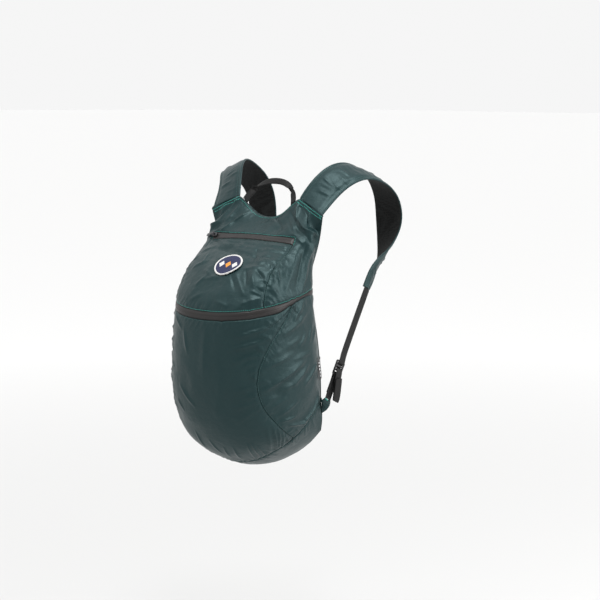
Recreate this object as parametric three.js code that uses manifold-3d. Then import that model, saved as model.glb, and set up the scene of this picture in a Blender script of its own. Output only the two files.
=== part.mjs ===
// A light packable backpack, filled and held up by its shoulder straps as when worn.
// Millimetres, +Z up. +X is the wearer's right and -Y the side away from the wearer. The origin lies
// midway between the undersides of the two straps, at the top of the shoulders.
import * as THREE from "three";
import { mergeVertices } from "three/addons/utils/BufferGeometryUtils.js";
import Module from "manifold-3d";

const wasm = await Module();
wasm.setup();

// Cloth and clearances
const cloth = 1.2; // wall of the coated nylon with its seam allowance
const seamGap = 0.4; // between two sewn pieces
const seatGap = 0.35; // between a piece and the cloth that it lies on

// Bag
const bagHeight = 531; // from the straps' inner corners to the bottom
const bagHalfWidth = 148;
const bagDepth = 215;
const neckDrop = 50; // of the straps' inner corners below the shoulders
const backSet = 97; // of the back panel behind the shoulders
const backBulge = 6; // of the back panel towards the wearer
const wingStandOff = 9; // of the wings' outer corners away from the wearer
const cornerForward = 5; // of the inner corners towards the wearer

// Zips
const mainTape = 15;
const pocketTape = 15;
const tapeThickness = 1.3;

// Shoulder straps
const strapWidth = 69;
const strapThickness = 3.2;
const liningThickness = 1.5;
const liningInset = 1.5; // of the lining inside each edge of the strap
const strapReach = 201; // from the back panel forward to the chest
const strapFall = 230; // from the shoulders down to the strap's lower end
const strapSpread = 69; // sideways from the seam to the chest
const strapTop = 2; // of the strap's middle line above the origin, at the shoulders
const strapSeamGap = 0.6; // between a strap's end and the yoke's edge
const strapHem = 5; // width of the flat hem along each side

// Webbing and its adjusters
const webbingWidth = 20;
const webbingThickness = 1.2;
const anchorOut = 13; // of the cloth tab past the bag's edge
const tabThickness = 1.8;
const tabGap = 0.8; // between a tab and the bag's edge
const webbingEndGap = 0.7; // between the end of the webbing and the piece that it is sewn to
const adjusterShare = 0.66; // place of the adjuster's top between the strap's end and the tab
const adjusterBar = 3.5;
const adjusterSlot = 5.5;
const adjusterRail = 2.8;
const adjusterThickness = 3;
const adjusterCorner = 2.5;
const slotPlay = 1.2; // of the webbing at each end of a slot
const webbingLift = 0.5; // of the webbing off the adjuster's faces
const freeEnd = 50; // of the webbing past the adjuster, folded up on itself

// Grab handle
const handleWidth = 13;
const handleThickness = 2;
const handleRise = 39;
const handleForward = 24;
const handleLift = 0.9; // of its ends off the neck's edge

// Badge and label
const patchDiameter = 58;
const patchThickness = 1;
const labelHeight = 42;
const labelWidth = 13;
const labelThickness = 0.9;

// Zip sliders
const sliderLength = 11;
const sliderWidth = 9;
const sliderThickness = 2.8;
const cheekThickness = 1.4;
const cheekWall = 1.2; // of the cheeks round the pin
const pinDiameter = 1.6;
const pinPlay = 0.45;
const pinInset = 2.5; // of the pin from the slider's end
const eyeWall = 1.1; // of the pull's eye round the pin
const pullLength = 21;
const pullNeck = 3.4; // length of the pull's narrow part past its eye
const pullWidth = 6.4;
const pullThickness = 1.5;
const tongueWidth = 3.2;
const mainTabOver = 3; // of the main slider's tab past its middle

// The neck and the two strap seams, from an outer corner to the middle. Lengths: across as a share of
// bagHalfWidth, drop below the inner corner as a share of bagHeight.
const neckline = [
  { along: 0.0, across: 0.9, drop: 0.057 },
  { along: 0.22, across: 0.7, drop: 0.029 },
  { along: 0.45, across: 0.48, drop: 0.0 },
  { along: 0.56, across: 0.392, drop: 0.017 },
  { along: 0.67, across: 0.311, drop: 0.038 },
  { along: 0.78, across: 0.216, drop: 0.059 },
  { along: 0.86, across: 0.149, drop: 0.068 },
  { along: 0.93, across: 0.074, drop: 0.0725 },
  { along: 1.0, across: 0.0, drop: 0.0735 },
];
const outerCorner = neckline[0];
const innerCorner = neckline[2];

// Loops round the filled bag below the neck, from the back edge to the front. Drops are shares of
// bagHeight, the half widths edge and bulge of bagHalfWidth, depth of bagDepth. A higher square has
// fuller corners.
const loops = [
  { at: "pocket zip", edgeDrop: 0.155, frontDrop: 0.134, edge: 0.82, bulge: 0.83, depth: 0.256, square: 3.4 },
  { at: "badge", edgeDrop: 0.21, frontDrop: 0.222, edge: 0.755, bulge: 0.82, depth: 0.63, square: 2.7 },
  { at: "swell", edgeDrop: 0.262, frontDrop: 0.312, edge: 0.69, bulge: 0.865, depth: 0.86, square: 2.55 },
  { at: "main zip", edgeDrop: 0.316, frontDrop: 0.394, edge: 0.67, bulge: 0.9, depth: 0.94, square: 2.5 },
  { at: "chest", edgeDrop: 0.43, frontDrop: 0.49, edge: 0.75, bulge: 0.935, depth: 0.97, square: 2.4 },
  { at: "middle", edgeDrop: 0.55, frontDrop: 0.6, edge: 0.82, bulge: 0.96, depth: 0.985, square: 2.4 },
  { at: "belly", edgeDrop: 0.64, frontDrop: 0.71, edge: 0.845, bulge: 0.965, depth: 0.965, square: 2.4 },
  { at: "low", edgeDrop: 0.69, frontDrop: 0.82, edge: 0.85, bulge: 0.95, depth: 0.885, square: 2.4 },
  { at: "turn", edgeDrop: 0.72, frontDrop: 0.905, edge: 0.85, bulge: 0.92, depth: 0.735, square: 2.55 },
  { at: "bottom", edgeDrop: 0.738, frontDrop: 0.955, edge: 0.85, bulge: 0.885, depth: 0.53, square: 3.1 },
];
const pocketZipRow = 1;
const mainZipRow = 4;
const bottomRow = loops.length;
const bulgeAt = 0.25; // depth of the widest place, as a share of a loop's depth
const sagPower = 1.25; // how late a loop falls towards its front

// Where the bag's seams cross the neckline and then each loop, as shares of the half loop from its middle.
const seamRows = [
  { pocketSeam: 0.55, sideSeam: 0.77 },
  { pocketSeam: 0.62, sideSeam: 0.8 },
  { pocketSeam: 0.47, sideSeam: 0.75 },
  { pocketSeam: 0.41, sideSeam: 0.7 },
  { pocketSeam: 0.39, sideSeam: 0.66 },
  { pocketSeam: 0.3, sideSeam: 0.47 },
  { pocketSeam: 0.24, sideSeam: 0.37 },
  { pocketSeam: 0.24, sideSeam: 0.38 },
  { pocketSeam: 0.3, sideSeam: 0.48 },
  { pocketSeam: 0.34, sideSeam: 0.56 },
  { pocketSeam: 0.36, sideSeam: 0.6 },
];

// Outline of the back panel's lower edge below the bottom seam's ends, as shares of bagHalfWidth and
// bagHeight, from an end to the middle.
const hem = [
  { along: 0.0, across: 0.85, drop: 0.758 },
  { along: 0.12, across: 0.88, drop: 0.8 },
  { along: 0.24, across: 0.85, drop: 0.848 },
  { along: 0.4, across: 0.7, drop: 0.897 },
  { along: 0.58, across: 0.5, drop: 0.94 },
  { along: 0.78, across: 0.26, drop: 0.978 },
  { along: 1.0, across: 0.0, drop: 0.993 },
];
const gussetBulge = 9;

// Large folds and dents. Each runs from one place on the bag to another, given by side (share of the
// half loop, + is the wearer's right) and row. Width and height are shares of bagDepth.
const folds = [
  { from: [0.9, 0.1], to: [0.96, 0.75], width: 0.05, height: -0.042 },
  { from: [0.74, 0.1], to: [0.8, 1.0], width: 0.05, height: 0.031 },
  { from: [-0.92, 0.1], to: [-0.95, 0.8], width: 0.05, height: -0.036 },
  { from: [-0.74, 0.1], to: [-0.78, 1.0], width: 0.05, height: 0.025 },
  { from: [0.62, 0.15], to: [0.3, 0.7], width: 0.06, height: -0.017 },
  { from: [-0.62, 0.15], to: [-0.34, 0.7], width: 0.06, height: -0.014 },
  { from: [-0.45, 1.35], to: [0.4, 1.32], width: 0.03, height: -0.02 },
  { from: [-0.3, 1.62], to: [0.1, 1.58], width: 0.035, height: 0.014 },
  { from: [0.26, 1.5], to: [0.2, 2.6], width: 0.045, height: -0.025 },
  { from: [0.36, 1.9], to: [0.08, 2.5], width: 0.05, height: 0.017 },
  { from: [0.62, 1.6], to: [0.56, 3.2], width: 0.06, height: -0.022 },
  { from: [-0.62, 1.7], to: [-0.52, 3.1], width: 0.06, height: -0.02 },
  { from: [-0.3, 2.7], to: [0.2, 3.1], width: 0.05, height: -0.014 },
  { from: [0.5, 6.8], to: [0.95, 5.3], width: 0.05, height: -0.028 },
  { from: [0.46, 7.8], to: [0.95, 6.4], width: 0.05, height: -0.028 },
  { from: [0.58, 8.8], to: [0.93, 7.4], width: 0.045, height: -0.022 },
  { from: [0.62, 5.6], to: [0.92, 4.6], width: 0.045, height: -0.02 },
  { from: [-0.5, 6.9], to: [-0.95, 5.4], width: 0.05, height: -0.025 },
  { from: [-0.48, 8.0], to: [-0.94, 6.7], width: 0.05, height: -0.025 },
  { from: [-0.64, 5.5], to: [-0.9, 4.7], width: 0.045, height: -0.02 },
  { from: [0.16, 5.9], to: [0.36, 5.5], width: 0.045, height: -0.017 },
  { from: [0.12, 6.9], to: [0.33, 6.5], width: 0.045, height: -0.017 },
  { from: [-0.14, 6.4], to: [-0.36, 6.0], width: 0.045, height: -0.015 },
  { from: [-0.1, 8.3], to: [-0.34, 7.6], width: 0.05, height: -0.014 },
];
const gatherCount = 15; // along the bottom seam
const gatherDepth = 1.3;
const gatherRows = 0.8;
const foldFade = 0.06; // share of the half loop, at the back edges
const neckFade = 0.12; // rows, at the neckline
const foldRoom = 0.6; // deepest dent, as a share of the room behind the cloth

// Middle line of a shoulder strap from its seam to its lower end. Out, forward and drop are shares of
// strapSpread, strapReach and strapFall; width is a share of strapWidth; turn is the direction across.
const strapLine = [
  { out: 0.0, forward: 0.0, drop: 0.275, width: 1.0, turn: [0.894, 0.0, -0.447] },
  { out: 0.18, forward: 0.135, drop: 0.15, width: 0.98, turn: [0.8, -0.12, -0.6] },
  { out: 0.4, forward: 0.265, drop: 0.045, width: 0.98, turn: [0.79, -0.14, -0.6] },
  { out: 0.63, forward: 0.42, drop: 0.0, width: 0.98, turn: [0.86, -0.24, -0.45] },
  { out: 0.76, forward: 0.61, drop: 0.035, width: 0.98, turn: [0.9, -0.33, -0.27] },
  { out: 0.8, forward: 0.8, drop: 0.125, width: 0.98, turn: [0.94, -0.28, -0.15] },
  { out: 0.8, forward: 0.93, drop: 0.255, width: 0.98, turn: [0.98, -0.18, 0.0] },
  { out: 0.79, forward: 0.98, drop: 0.42, width: 0.97, turn: [0.99, -0.08, 0.05] },
  { out: 0.8, forward: 0.95, drop: 0.59, width: 0.93, turn: [0.9, -0.25, 0.2] },
  { out: 0.85, forward: 0.84, drop: 0.75, width: 0.8, turn: [0.7, -0.5, 0.4] },
  { out: 0.9, forward: 0.64, drop: 0.86, width: 0.6, turn: [0.3, -0.75, 0.6] },
  { out: 0.913, forward: 0.502, drop: 1.0, width: 0.38, turn: [0.0, -0.91, 0.41] },
];
const strapSteps = 24;

// Middle line of the grab handle from its top to an end, as shares of its half span, forward lean and
// rise; turn is the direction across the webbing.
const handleLine = [
  { out: 0.0, forward: 1.0, rise: 1.0, turn: [0.0, 0.5, 0.87] },
  { out: 0.38, forward: 0.92, rise: 0.93, turn: [-0.25, 0.6, 0.75] },
  { out: 0.7, forward: 0.7, rise: 0.68, turn: [-0.6, 0.6, 0.5] },
  { out: 0.9, forward: 0.34, rise: 0.33, turn: [-0.92, 0.3, 0.05] },
  { out: 1.0, forward: 0.0, rise: 0.0, turn: [-0.83, 0.0, -0.56] },
];
const handleAlong = 0.44; // place of its ends on the neckline, as a share of the half loop

// Middle line of the cloth tab from the bag's corner to the webbing, as shares of anchorOut; width is a
// share of webbingWidth.
const tabLine = [
  { out: 0.16, forward: 0.0, rise: -0.45, width: 1.4, turn: [-0.14, 0.0, 0.99] },
  { out: 0.55, forward: 0.05, rise: -0.35, width: 1.2, turn: [-0.2, -0.5, 0.85] },
  { out: 0.95, forward: 0.25, rise: 0.35, width: 1.05, turn: [0.0, -0.91, 0.41] },
];

// Places on the bag: side is a share of the half loop, row a row of the loops
const badgeSide = 0.036;
const badgeRow = 2.04;
const labelSide = 0.955;
const labelRow = 6.6;
const pocketSliderSide = 0.58;
const mainSliderSide = 0.9;
const sliderLift = 0.8; // of the sliders' flat backs off the curved tapes
const pullRest = 0.2; // tilt of the hanging pull below the slider, in radians

// Counts of grid lines
const neckColumns = 4; // of the back panel, from its middle to an inner corner
const halfColumns = 24;
const sideColumn = 10; // column of the side seam, from a back edge
const pocketColumn = 15; // column of the pocket seam, from a back edge
const yokeRows = 5;
const upperRows = 8;
const lowerRows = 13;
const gussetRows = 3;

const finishes = {
  shell: { color: 0x36494a, roughness: 0.5 },
  tape: { color: 0x3a3838, roughness: 0.42 },
  strap: { color: 0x3f5456, roughness: 0.55 },
  black: { color: 0x171a19, roughness: 0.75 },
  plastic: { color: 0x141515, roughness: 0.35 },
  slider: { color: 0x2a2c2d, roughness: 0.35, metalness: 0.8 },
  badge: { color: 0xe2e0dd, roughness: 0.8 },
};

const backpack = new THREE.Group();

function addPiece(name, geometry, finish) {
  geometry.computeVertexNormals();
  const mesh = new THREE.Mesh(geometry, new THREE.MeshStandardMaterial(finishes[finish]));
  mesh.name = name;
  backpack.add(mesh);
  return mesh;
}

const lerp = THREE.MathUtils.lerp;

// Value of one column of a table at a place along its key column.
function tableAt(table, key, column, place) {
  let i = 1;
  while (i < table.length - 1 && table[i][key] < place) i += 1;
  const before = table[i - 1];
  const after = table[i];
  return lerp(before[column], after[column], (place - before[key]) / (after[key] - before[key]));
}

// Smooth value through a list of evenly spaced numbers.
function splineThrough(values, place) {
  const last = values.length - 1;
  const i = Math.min(last - 1, Math.max(0, Math.floor(place)));
  const t = place - i;
  const b = values[i];
  const c = values[i + 1];
  const a = i > 0 ? values[i - 1] : 2 * b - c;
  const d = i + 2 <= last ? values[i + 2] : 2 * c - b;
  return 0.5 * (2 * b + (c - a) * t + (2 * a - 5 * b + 4 * c - d) * t * t + (3 * b - a - 3 * c + d) * t ** 3);
}

function heightOf(drop) {
  return -neckDrop - drop * bagHeight;
}

// The top of the bag follows the back: its inner corners lie forward, its outer corners stand off.
function standOff(across, height) {
  const past = Math.abs(across) / bagHalfWidth - innerCorner.across;
  const wing = THREE.MathUtils.clamp(past / (outerCorner.across - innerCorner.across), 0, 1);
  const fade = THREE.MathUtils.clamp(1 - (-neckDrop - height) / bagHeight / loops[0].edgeDrop, 0, 1);
  return fade * (wingStandOff * wing - cornerForward * (1 - wing));
}

// Place on the bag from distance across, depth away from the back panel and height.
function bagPoint(across, depth, height) {
  return new THREE.Vector3(across, -backSet - standOff(across, height) - depth, height);
}

// Half of one loop, as evenly spaced points from the back edge to the front middle.
const edgeDepth = cloth + seamGap;
const loopSamples = 60;
function halfLoop(loop) {
  const edge = loop.edge * bagHalfWidth;
  const widest = loop.bulge * bagHalfWidth;
  const depth = loop.depth * bagDepth;
  const turnDepth = edgeDepth + bulgeAt * (depth - edgeDepth);
  const power = 2 / loop.square;
  const backAngle = Math.acos(Math.min(1, edge / widest));
  const outline = [];
  for (let i = 0; i <= loopSamples; i += 1) {
    const share = i / loopSamples;
    const angle = backAngle * (1 - share);
    const fall = backAngle > 0 ? Math.sin(angle) / Math.sin(backAngle) : 1 - share;
    outline.push(new THREE.Vector2(widest * Math.cos(angle), turnDepth + (edgeDepth - turnDepth) * fall));
  }
  for (let i = 1; i <= loopSamples; i += 1) {
    const angle = (Math.PI / 2) * (i / loopSamples);
    outline.push(new THREE.Vector2(
      widest * Math.cos(angle) ** power,
      turnDepth + (depth - turnDepth) * Math.sin(angle) ** power,
    ));
  }
  const lengths = [0];
  for (let i = 1; i < outline.length; i += 1) {
    lengths.push(lengths[i - 1] + outline[i].distanceTo(outline[i - 1]));
  }
  return { outline, lengths };
}
const halfLoops = loops.map(halfLoop);

// Point of one row of the bag: row 0 is the neckline, the others are the loops.
function rowPoint(row, side) {
  const along = 1 - Math.min(1, Math.abs(side));
  const sign = side < 0 ? -1 : 1;
  if (row === 0) {
    const across = tableAt(neckline, "along", "across", along) * bagHalfWidth;
    return bagPoint(sign * across, edgeDepth, heightOf(tableAt(neckline, "along", "drop", along)));
  }
  const { outline, lengths } = halfLoops[row - 1];
  const target = along * lengths[lengths.length - 1];
  let i = 1;
  while (i < lengths.length - 1 && lengths[i] < target) i += 1;
  const share = (target - lengths[i - 1]) / (lengths[i] - lengths[i - 1]);
  const place = outline[i - 1].clone().lerp(outline[i], share);
  const loop = loops[row - 1];
  const drop = lerp(loop.edgeDrop, loop.frontDrop, Math.sin((along * Math.PI) / 2) ** sagPower);
  return bagPoint(sign * place.x, place.y, heightOf(drop));
}

// Smooth cloth between the rows, with no folds yet.
function plainPoint(side, row) {
  const base = Math.min(bottomRow - 1, Math.max(0, Math.floor(row)));
  const first = Math.max(0, base - 1);
  const near = [];
  for (let k = first; k <= Math.min(bottomRow, base + 2); k += 1) near.push(rowPoint(k, side));
  const coordinate = (axis) => splineThrough(near.map((point) => point[axis]), row - first);
  return new THREE.Vector3(coordinate("x"), coordinate("y"), coordinate("z"));
}

const probe = 0.02;
function outwardAt(side, row, pointAt) {
  const left = pointAt(Math.max(-1, side - probe), row);
  const right = pointAt(Math.min(1, side + probe), row);
  const above = pointAt(side, Math.max(0, row - probe));
  const below = pointAt(side, Math.min(bottomRow, row + probe));
  return below.sub(above).cross(right.sub(left)).normalize();
}

const foldLines = folds.map((fold) => ({
  line: new THREE.Line3(plainPoint(...fold.from), plainPoint(...fold.to)),
  width: fold.width * bagDepth,
  height: fold.height * bagDepth,
}));

const nearest = new THREE.Vector3();
function foldHeight(point, side, row) {
  let height = 0;
  for (const fold of foldLines) {
    fold.line.closestPointToPoint(point, true, nearest);
    height += fold.height * Math.exp(-((nearest.distanceTo(point) / fold.width) ** 2));
  }
  const nearSeam = Math.exp(-(((bottomRow - row) / gatherRows) ** 2));
  return height - gatherDepth * nearSeam * Math.cos(Math.PI * gatherCount * side) ** 2;
}

// Folds fade out at the neck and at the back edges, where the cloth is sewn flat.
function clothPoint(side, row) {
  const point = plainPoint(side, row);
  const fade = Math.min(1, (1 - Math.abs(side)) / foldFade) * Math.min(1, row / neckFade);
  const outward = outwardAt(side, row, plainPoint);
  const room = -point.y - backSet - standOff(point.x, point.z) - edgeDepth;
  const height = fade * foldHeight(point, side, row);
  return point.addScaledVector(outward, Math.max(height, -Math.max(0, room) * foldRoom));
}

// A closed body from a list of points and its triangles, without the points that none of them use.
function closedGeometry(points, triangles) {
  const geometry = new THREE.BufferGeometry();
  const used = [...new Set(triangles)];
  const place = new Map(used.map((old, k) => [old, k]));
  geometry.setAttribute("position", new THREE.Float32BufferAttribute(
    used.flatMap((old) => points[old].toArray()), 3));
  geometry.setIndex(triangles.map((old) => place.get(old)));
  return geometry;
}

// A closed sheet of cloth from a grid of outer points. Cells can be left out, free edges draw back by
// half a seam gap, and the inner face lies one thickness inside.
const sharpestCorner = -0.5; // cosine between two drawn edges at which the draw stops growing
function sheet(grid, thickness, keep = () => true) {
  const rows = grid.length - 1;
  const columns = grid[0].length - 1;
  const kept = (j, i) => j >= 0 && i >= 0 && j < rows && i < columns && keep(j, i);
  const index = (j, i) => j * (columns + 1) + i;
  const outer = grid.flat().map((point) => point.clone());
  const normals = outer.map(() => new THREE.Vector3());
  const draws = outer.map(() => []);
  const faces = [];
  const walls = [];
  for (let j = 0; j < rows; j += 1) {
    for (let i = 0; i < columns; i += 1) {
      if (!kept(j, i)) continue;
      const corners = [index(j, i), index(j + 1, i), index(j + 1, i + 1), index(j, i + 1)];
      faces.push([corners[0], corners[1], corners[2]], [corners[0], corners[2], corners[3]]);
      const normal = outer[corners[2]].clone().sub(outer[corners[0]])
        .cross(outer[corners[3]].clone().sub(outer[corners[1]]));
      const centre = outer[corners[0]].clone().add(outer[corners[1]]).add(outer[corners[2]])
        .add(outer[corners[3]]).divideScalar(4);
      const beyond = [kept(j, i - 1), kept(j + 1, i), kept(j, i + 1), kept(j - 1, i)];
      corners.forEach((corner, k) => {
        normals[corner].add(normal);
        if (beyond[k]) return;
        const next = corners[(k + 1) % 4];
        const edge = outer[next].clone().sub(outer[corner]).normalize();
        const inward = centre.clone().sub(outer[corner]);
        inward.addScaledVector(edge, -inward.dot(edge)).normalize();
        draws[corner].push(inward);
        draws[next].push(inward);
        walls.push([corner, next]);
      });
    }
  }
  const draw = seamGap / 2;
  outer.forEach((point, k) => {
    normals[k].normalize();
    if (draws[k].length === 2) {
      const [one, two] = draws[k];
      point.addScaledVector(one.clone().add(two), draw / (1 + Math.max(sharpestCorner, one.dot(two))));
    }
  });
  const inner = outer.map((point, k) => point.clone().addScaledVector(normals[k], -thickness));
  const count = outer.length;
  const triangles = [];
  for (const [a, b, c] of faces) triangles.push(a, b, c, c + count, b + count, a + count);
  for (const [a, b] of walls) triangles.push(b, a, a + count, b, a + count, b + count);
  return closedGeometry([...outer, ...inner], triangles);
}

// A closed bar swept through sections: each has a centre, a direction across, an outward direction and
// a size, and the outline is a list of [across, outward] pairs in those directions.
function sweep(sections, outlineOf) {
  const points = [];
  const triangles = [];
  const outline = outlineOf(sections[0]);
  const size = outline.length;
  for (const section of sections) {
    for (const [across, outward] of outlineOf(section)) {
      points.push(section.centre.clone().addScaledVector(section.across, across)
        .addScaledVector(section.outward, outward));
    }
  }
  for (let k = 0; k + 1 < sections.length; k += 1) {
    for (let i = 0; i < size; i += 1) {
      const next = (i + 1) % size;
      const a = k * size + i;
      const b = k * size + next;
      const rising = outline[next][0] >= outline[i][0];
      if (rising) triangles.push(a, b, b + size, a, b + size, a + size);
      else triangles.push(a, b, a + size, b, b + size, a + size);
    }
  }
  const last = (sections.length - 1) * size;
  for (let i = 1; i + 1 < size; i += 1) {
    triangles.push(0, i + 1, i, last, last + i, last + i + 1);
  }
  return closedGeometry(points, triangles);
}

function flatOutline(width, low, high) {
  return [[-width / 2, low], [-width / 2, high], [width / 2, high], [width / 2, low]];
}

// Side as the grid's columns have it, with whole columns on the side seam and the pocket seam.
function columnSide(column, row) {
  const fromEdge = Math.min(column, 2 * halfColumns - column);
  const sign = column < halfColumns ? -1 : 1;
  const pocketSeam = splineThrough(seamRows.map((seam) => seam.pocketSeam), row);
  const sideSeam = splineThrough(seamRows.map((seam) => seam.sideSeam), row);
  let side;
  if (fromEdge <= sideColumn) side = lerp(1, sideSeam, fromEdge / sideColumn);
  else if (fromEdge <= pocketColumn) {
    side = lerp(sideSeam, pocketSeam, (fromEdge - sideColumn) / (pocketColumn - sideColumn));
  } else side = lerp(pocketSeam, 0, (fromEdge - pocketColumn) / (halfColumns - pocketColumn));
  return sign * side;
}

// Row on which a tape's edge lies, one half tape above (-1) or below (+1) the zip's middle line.
const tapeEndShare = 0.2;
const tapeTaper = 0.1;
function tapeEdgeRow(column, zipRow, tape, direction, tapered) {
  const side = columnSide(column, zipRow);
  const span = plainPoint(side, zipRow + probe).distanceTo(plainPoint(side, zipRow - probe)) / (2 * probe);
  const narrow = tapered ? lerp(tapeEndShare, 1, Math.min(1, (1 - Math.abs(side)) / tapeTaper)) : 1;
  return zipRow + (direction * narrow * tape) / 2 / span;
}

// Points of one grid line across the bag, from the rows that its columns have.
function gridLine(rowOfColumn) {
  const line = [];
  for (let column = 0; column <= 2 * halfColumns; column += 1) {
    const row = rowOfColumn(column);
    line.push(clothPoint(columnSide(column, row), row));
  }
  return line;
}

const pocketTop = (column) => tapeEdgeRow(column, pocketZipRow, pocketTape, -1, false);
const pocketBase = (column) => tapeEdgeRow(column, pocketZipRow, pocketTape, 1, false);
const mainTop = (column) => tapeEdgeRow(column, mainZipRow, mainTape, -1, true);
const mainBase = (column) => tapeEdgeRow(column, mainZipRow, mainTape, 1, true);

const yokeGrid = [];
for (let j = 0; j <= yokeRows; j += 1) {
  yokeGrid.push(gridLine((column) => (pocketTop(column) * j) / yokeRows));
}
const upperGrid = [];
for (let j = 0; j <= upperRows; j += 1) {
  upperGrid.push(gridLine((column) => lerp(pocketBase(column), mainTop(column), j / upperRows)));
}
const lowerGrid = [];
for (let j = 0; j <= lowerRows; j += 1) {
  lowerGrid.push(gridLine((column) => lerp(mainBase(column), bottomRow, j / lowerRows)));
}

const inPocket = (i) => i >= pocketColumn && i < 2 * halfColumns - pocketColumn;
addPiece("yoke", sheet([...yokeGrid, ...upperGrid], cloth, (j, i) => j < yokeRows || !inPocket(i)), "shell");
addPiece("upper_front_panel", sheet(upperGrid, cloth, (j, i) => inPocket(i)), "shell");
const inFront = (i) => i >= sideColumn && i < 2 * halfColumns - sideColumn;
addPiece("front_panel", sheet(lowerGrid, cloth, (j, i) => inFront(i)), "shell");
addPiece("side_panel_left", sheet(lowerGrid, cloth, (j, i) => i < sideColumn), "shell");
addPiece("side_panel_right", sheet(lowerGrid, cloth, (j, i) => i >= 2 * halfColumns - sideColumn), "shell");
addPiece("main_zip", sheet([upperGrid[upperRows], lowerGrid[0]], tapeThickness), "tape");
addPiece("pocket_zip", sheet([yokeGrid[yokeRows], upperGrid[0]], tapeThickness, (j, i) => inPocket(i)),
  "tape");

// Bottom gusset, from the bottom seam to the back panel's lower edge
function hemPoint(side, depth) {
  const along = 1 - Math.abs(side);
  const across = Math.sign(side) * tableAt(hem, "along", "across", along) * bagHalfWidth;
  return bagPoint(across, depth, heightOf(tableAt(hem, "along", "drop", along)));
}
const seamLine = lowerGrid[lowerRows];
const gussetGrid = [];
for (let j = 0; j <= gussetRows; j += 1) {
  const share = j / gussetRows;
  gussetGrid.push(seamLine.map((front, column) => {
    const side = columnSide(column, bottomRow);
    const back = hemPoint(side, edgeDepth);
    const swell = gussetBulge * Math.sin(Math.PI * share) * (1 - side * side);
    return front.clone().lerp(back, share).add(new THREE.Vector3(0, 0, -swell));
  }));
}
addPiece("bottom_gusset", sheet(gussetGrid, cloth), "shell");

// Back panel, with the neck cut above and the hem below
const backHalfColumns = 7;
function backPoint(point) {
  return bagPoint(point.x, 0, point.z);
}
function backLine(pointAt, bulge) {
  const line = [];
  for (let i = 0; i <= 2 * backHalfColumns; i += 1) {
    const side = i / backHalfColumns - 1;
    line.push(pointAt(side).add(new THREE.Vector3(0, bulge * (1 - side * side), 0)));
  }
  return line;
}
function neckSide(side) {
  const corner = neckColumns / backHalfColumns;
  const cornerSide = 1 - innerCorner.along;
  const size = Math.abs(side);
  return Math.sign(side) * (size < corner ? (size / corner) * cornerSide
    : lerp(cornerSide, 1, (size - corner) / (1 - corner)));
}
const backGrid = [backLine((side) => backPoint(plainPoint(neckSide(side), 0)), 0)];
const wingRow = 0.5; // the one row between the neckline and the first loop
for (let row = wingRow; row <= bottomRow; row += row < 1 ? wingRow : 1) {
  const edge = plainPoint(1, row);
  const bulge = backBulge * Math.sin((Math.PI * row) / (bottomRow + 1));
  backGrid.push(backLine((side) => backPoint(new THREE.Vector3(side * edge.x, 0, edge.z)), bulge));
}
const hemEdge = hemPoint(1 - hem[1].along, 0);
backGrid.push(backLine((side) => backPoint(new THREE.Vector3(side * hemEdge.x, 0, hemEdge.z)), 0));
const hemStart = hem[2].along;
backGrid.push(backLine((side) => backPoint(hemPoint(side * (1 - hemStart), 0)), 0));
addPiece("back_panel", sheet(backGrid, cloth), "shell");

// A piece that hangs from a middle line: sections with their directions, from a table of places.
function sectionsAlong(places, steps, widthAt) {
  const curve = new THREE.CatmullRomCurve3(places.map((place) => place.point), false, "centripetal");
  const sections = [];
  for (let k = 0; k <= steps; k += 1) {
    const share = k / steps;
    const centre = curve.getPoint(share);
    const tangent = curve.getTangent(share);
    const place = share * (places.length - 1);
    const turnAlong = (axis) => splineThrough(places.map(({ turn }) => turn[axis]), place);
    const across = new THREE.Vector3(turnAlong("x"), turnAlong("y"), turnAlong("z")).normalize();
    const isEnd = k === 0 || k === steps;
    if (!isEnd) across.addScaledVector(tangent, -across.dot(tangent)).normalize();
    const width = splineThrough(places.map((one) => one.width), place) * widthAt;
    sections.push({ centre, across, tangent, outward: across.clone().cross(tangent).normalize(), width });
  }
  return sections;
}

function mirrored(geometry) {
  const copy = geometry.clone().applyMatrix4(new THREE.Matrix4().makeScale(-1, 1, 1));
  const index = copy.index.array;
  for (let i = 0; i < index.length; i += 3) [index[i], index[i + 1]] = [index[i + 1], index[i]];
  return copy;
}

function addPair(name, geometry, finish) {
  addPiece(`${name}_right`, geometry, finish);
  addPiece(`${name}_left`, mirrored(geometry), finish);
}

// Shoulder straps, sewn to the yoke's wings
const seamOut = plainPoint(1, 0);
const seamIn = plainPoint(1 - innerCorner.along, 0);
const seamMiddle = seamOut.clone().add(seamIn).multiplyScalar(0.5);
seamMiddle.y += edgeDepth;
const strapPlaces = strapLine.map(({ out, forward, drop, width, turn }) => ({
  point: new THREE.Vector3(
    seamMiddle.x + out * strapSpread,
    seamMiddle.y + forward * strapReach,
    strapTop - drop * strapFall,
  ),
  width,
  turn: new THREE.Vector3(...turn),
}));
strapPlaces[0].turn = seamOut.clone().sub(seamIn).normalize();
strapPlaces[0].point.z = seamMiddle.z;
const strapStart = strapPlaces[1].point.clone().sub(strapPlaces[0].point).normalize();
strapPlaces[0].point.addScaledVector(strapStart, strapSeamGap);
const strapSections = sectionsAlong(strapPlaces, strapSteps, strapWidth);
const strapEdge = 0.35; // thickness of the strap's edge, as a share of its middle
const strapShoulder = 0.8; // thickness inside the hem, as a share of its middle
addPair("strap", sweep(strapSections, ({ width }) => {
  const half = width / 2;
  const lined = half - liningInset;
  return [
    [-half, 0],
    [-half, strapThickness * strapEdge],
    [-half + strapHem, strapThickness * strapShoulder],
    [0, strapThickness],
    [half - strapHem, strapThickness * strapShoulder],
    [half, strapThickness * strapEdge],
    [half, 0],
    [lined, 0],
    [0, 0],
    [-lined, 0],
  ];
}), "strap");
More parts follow.
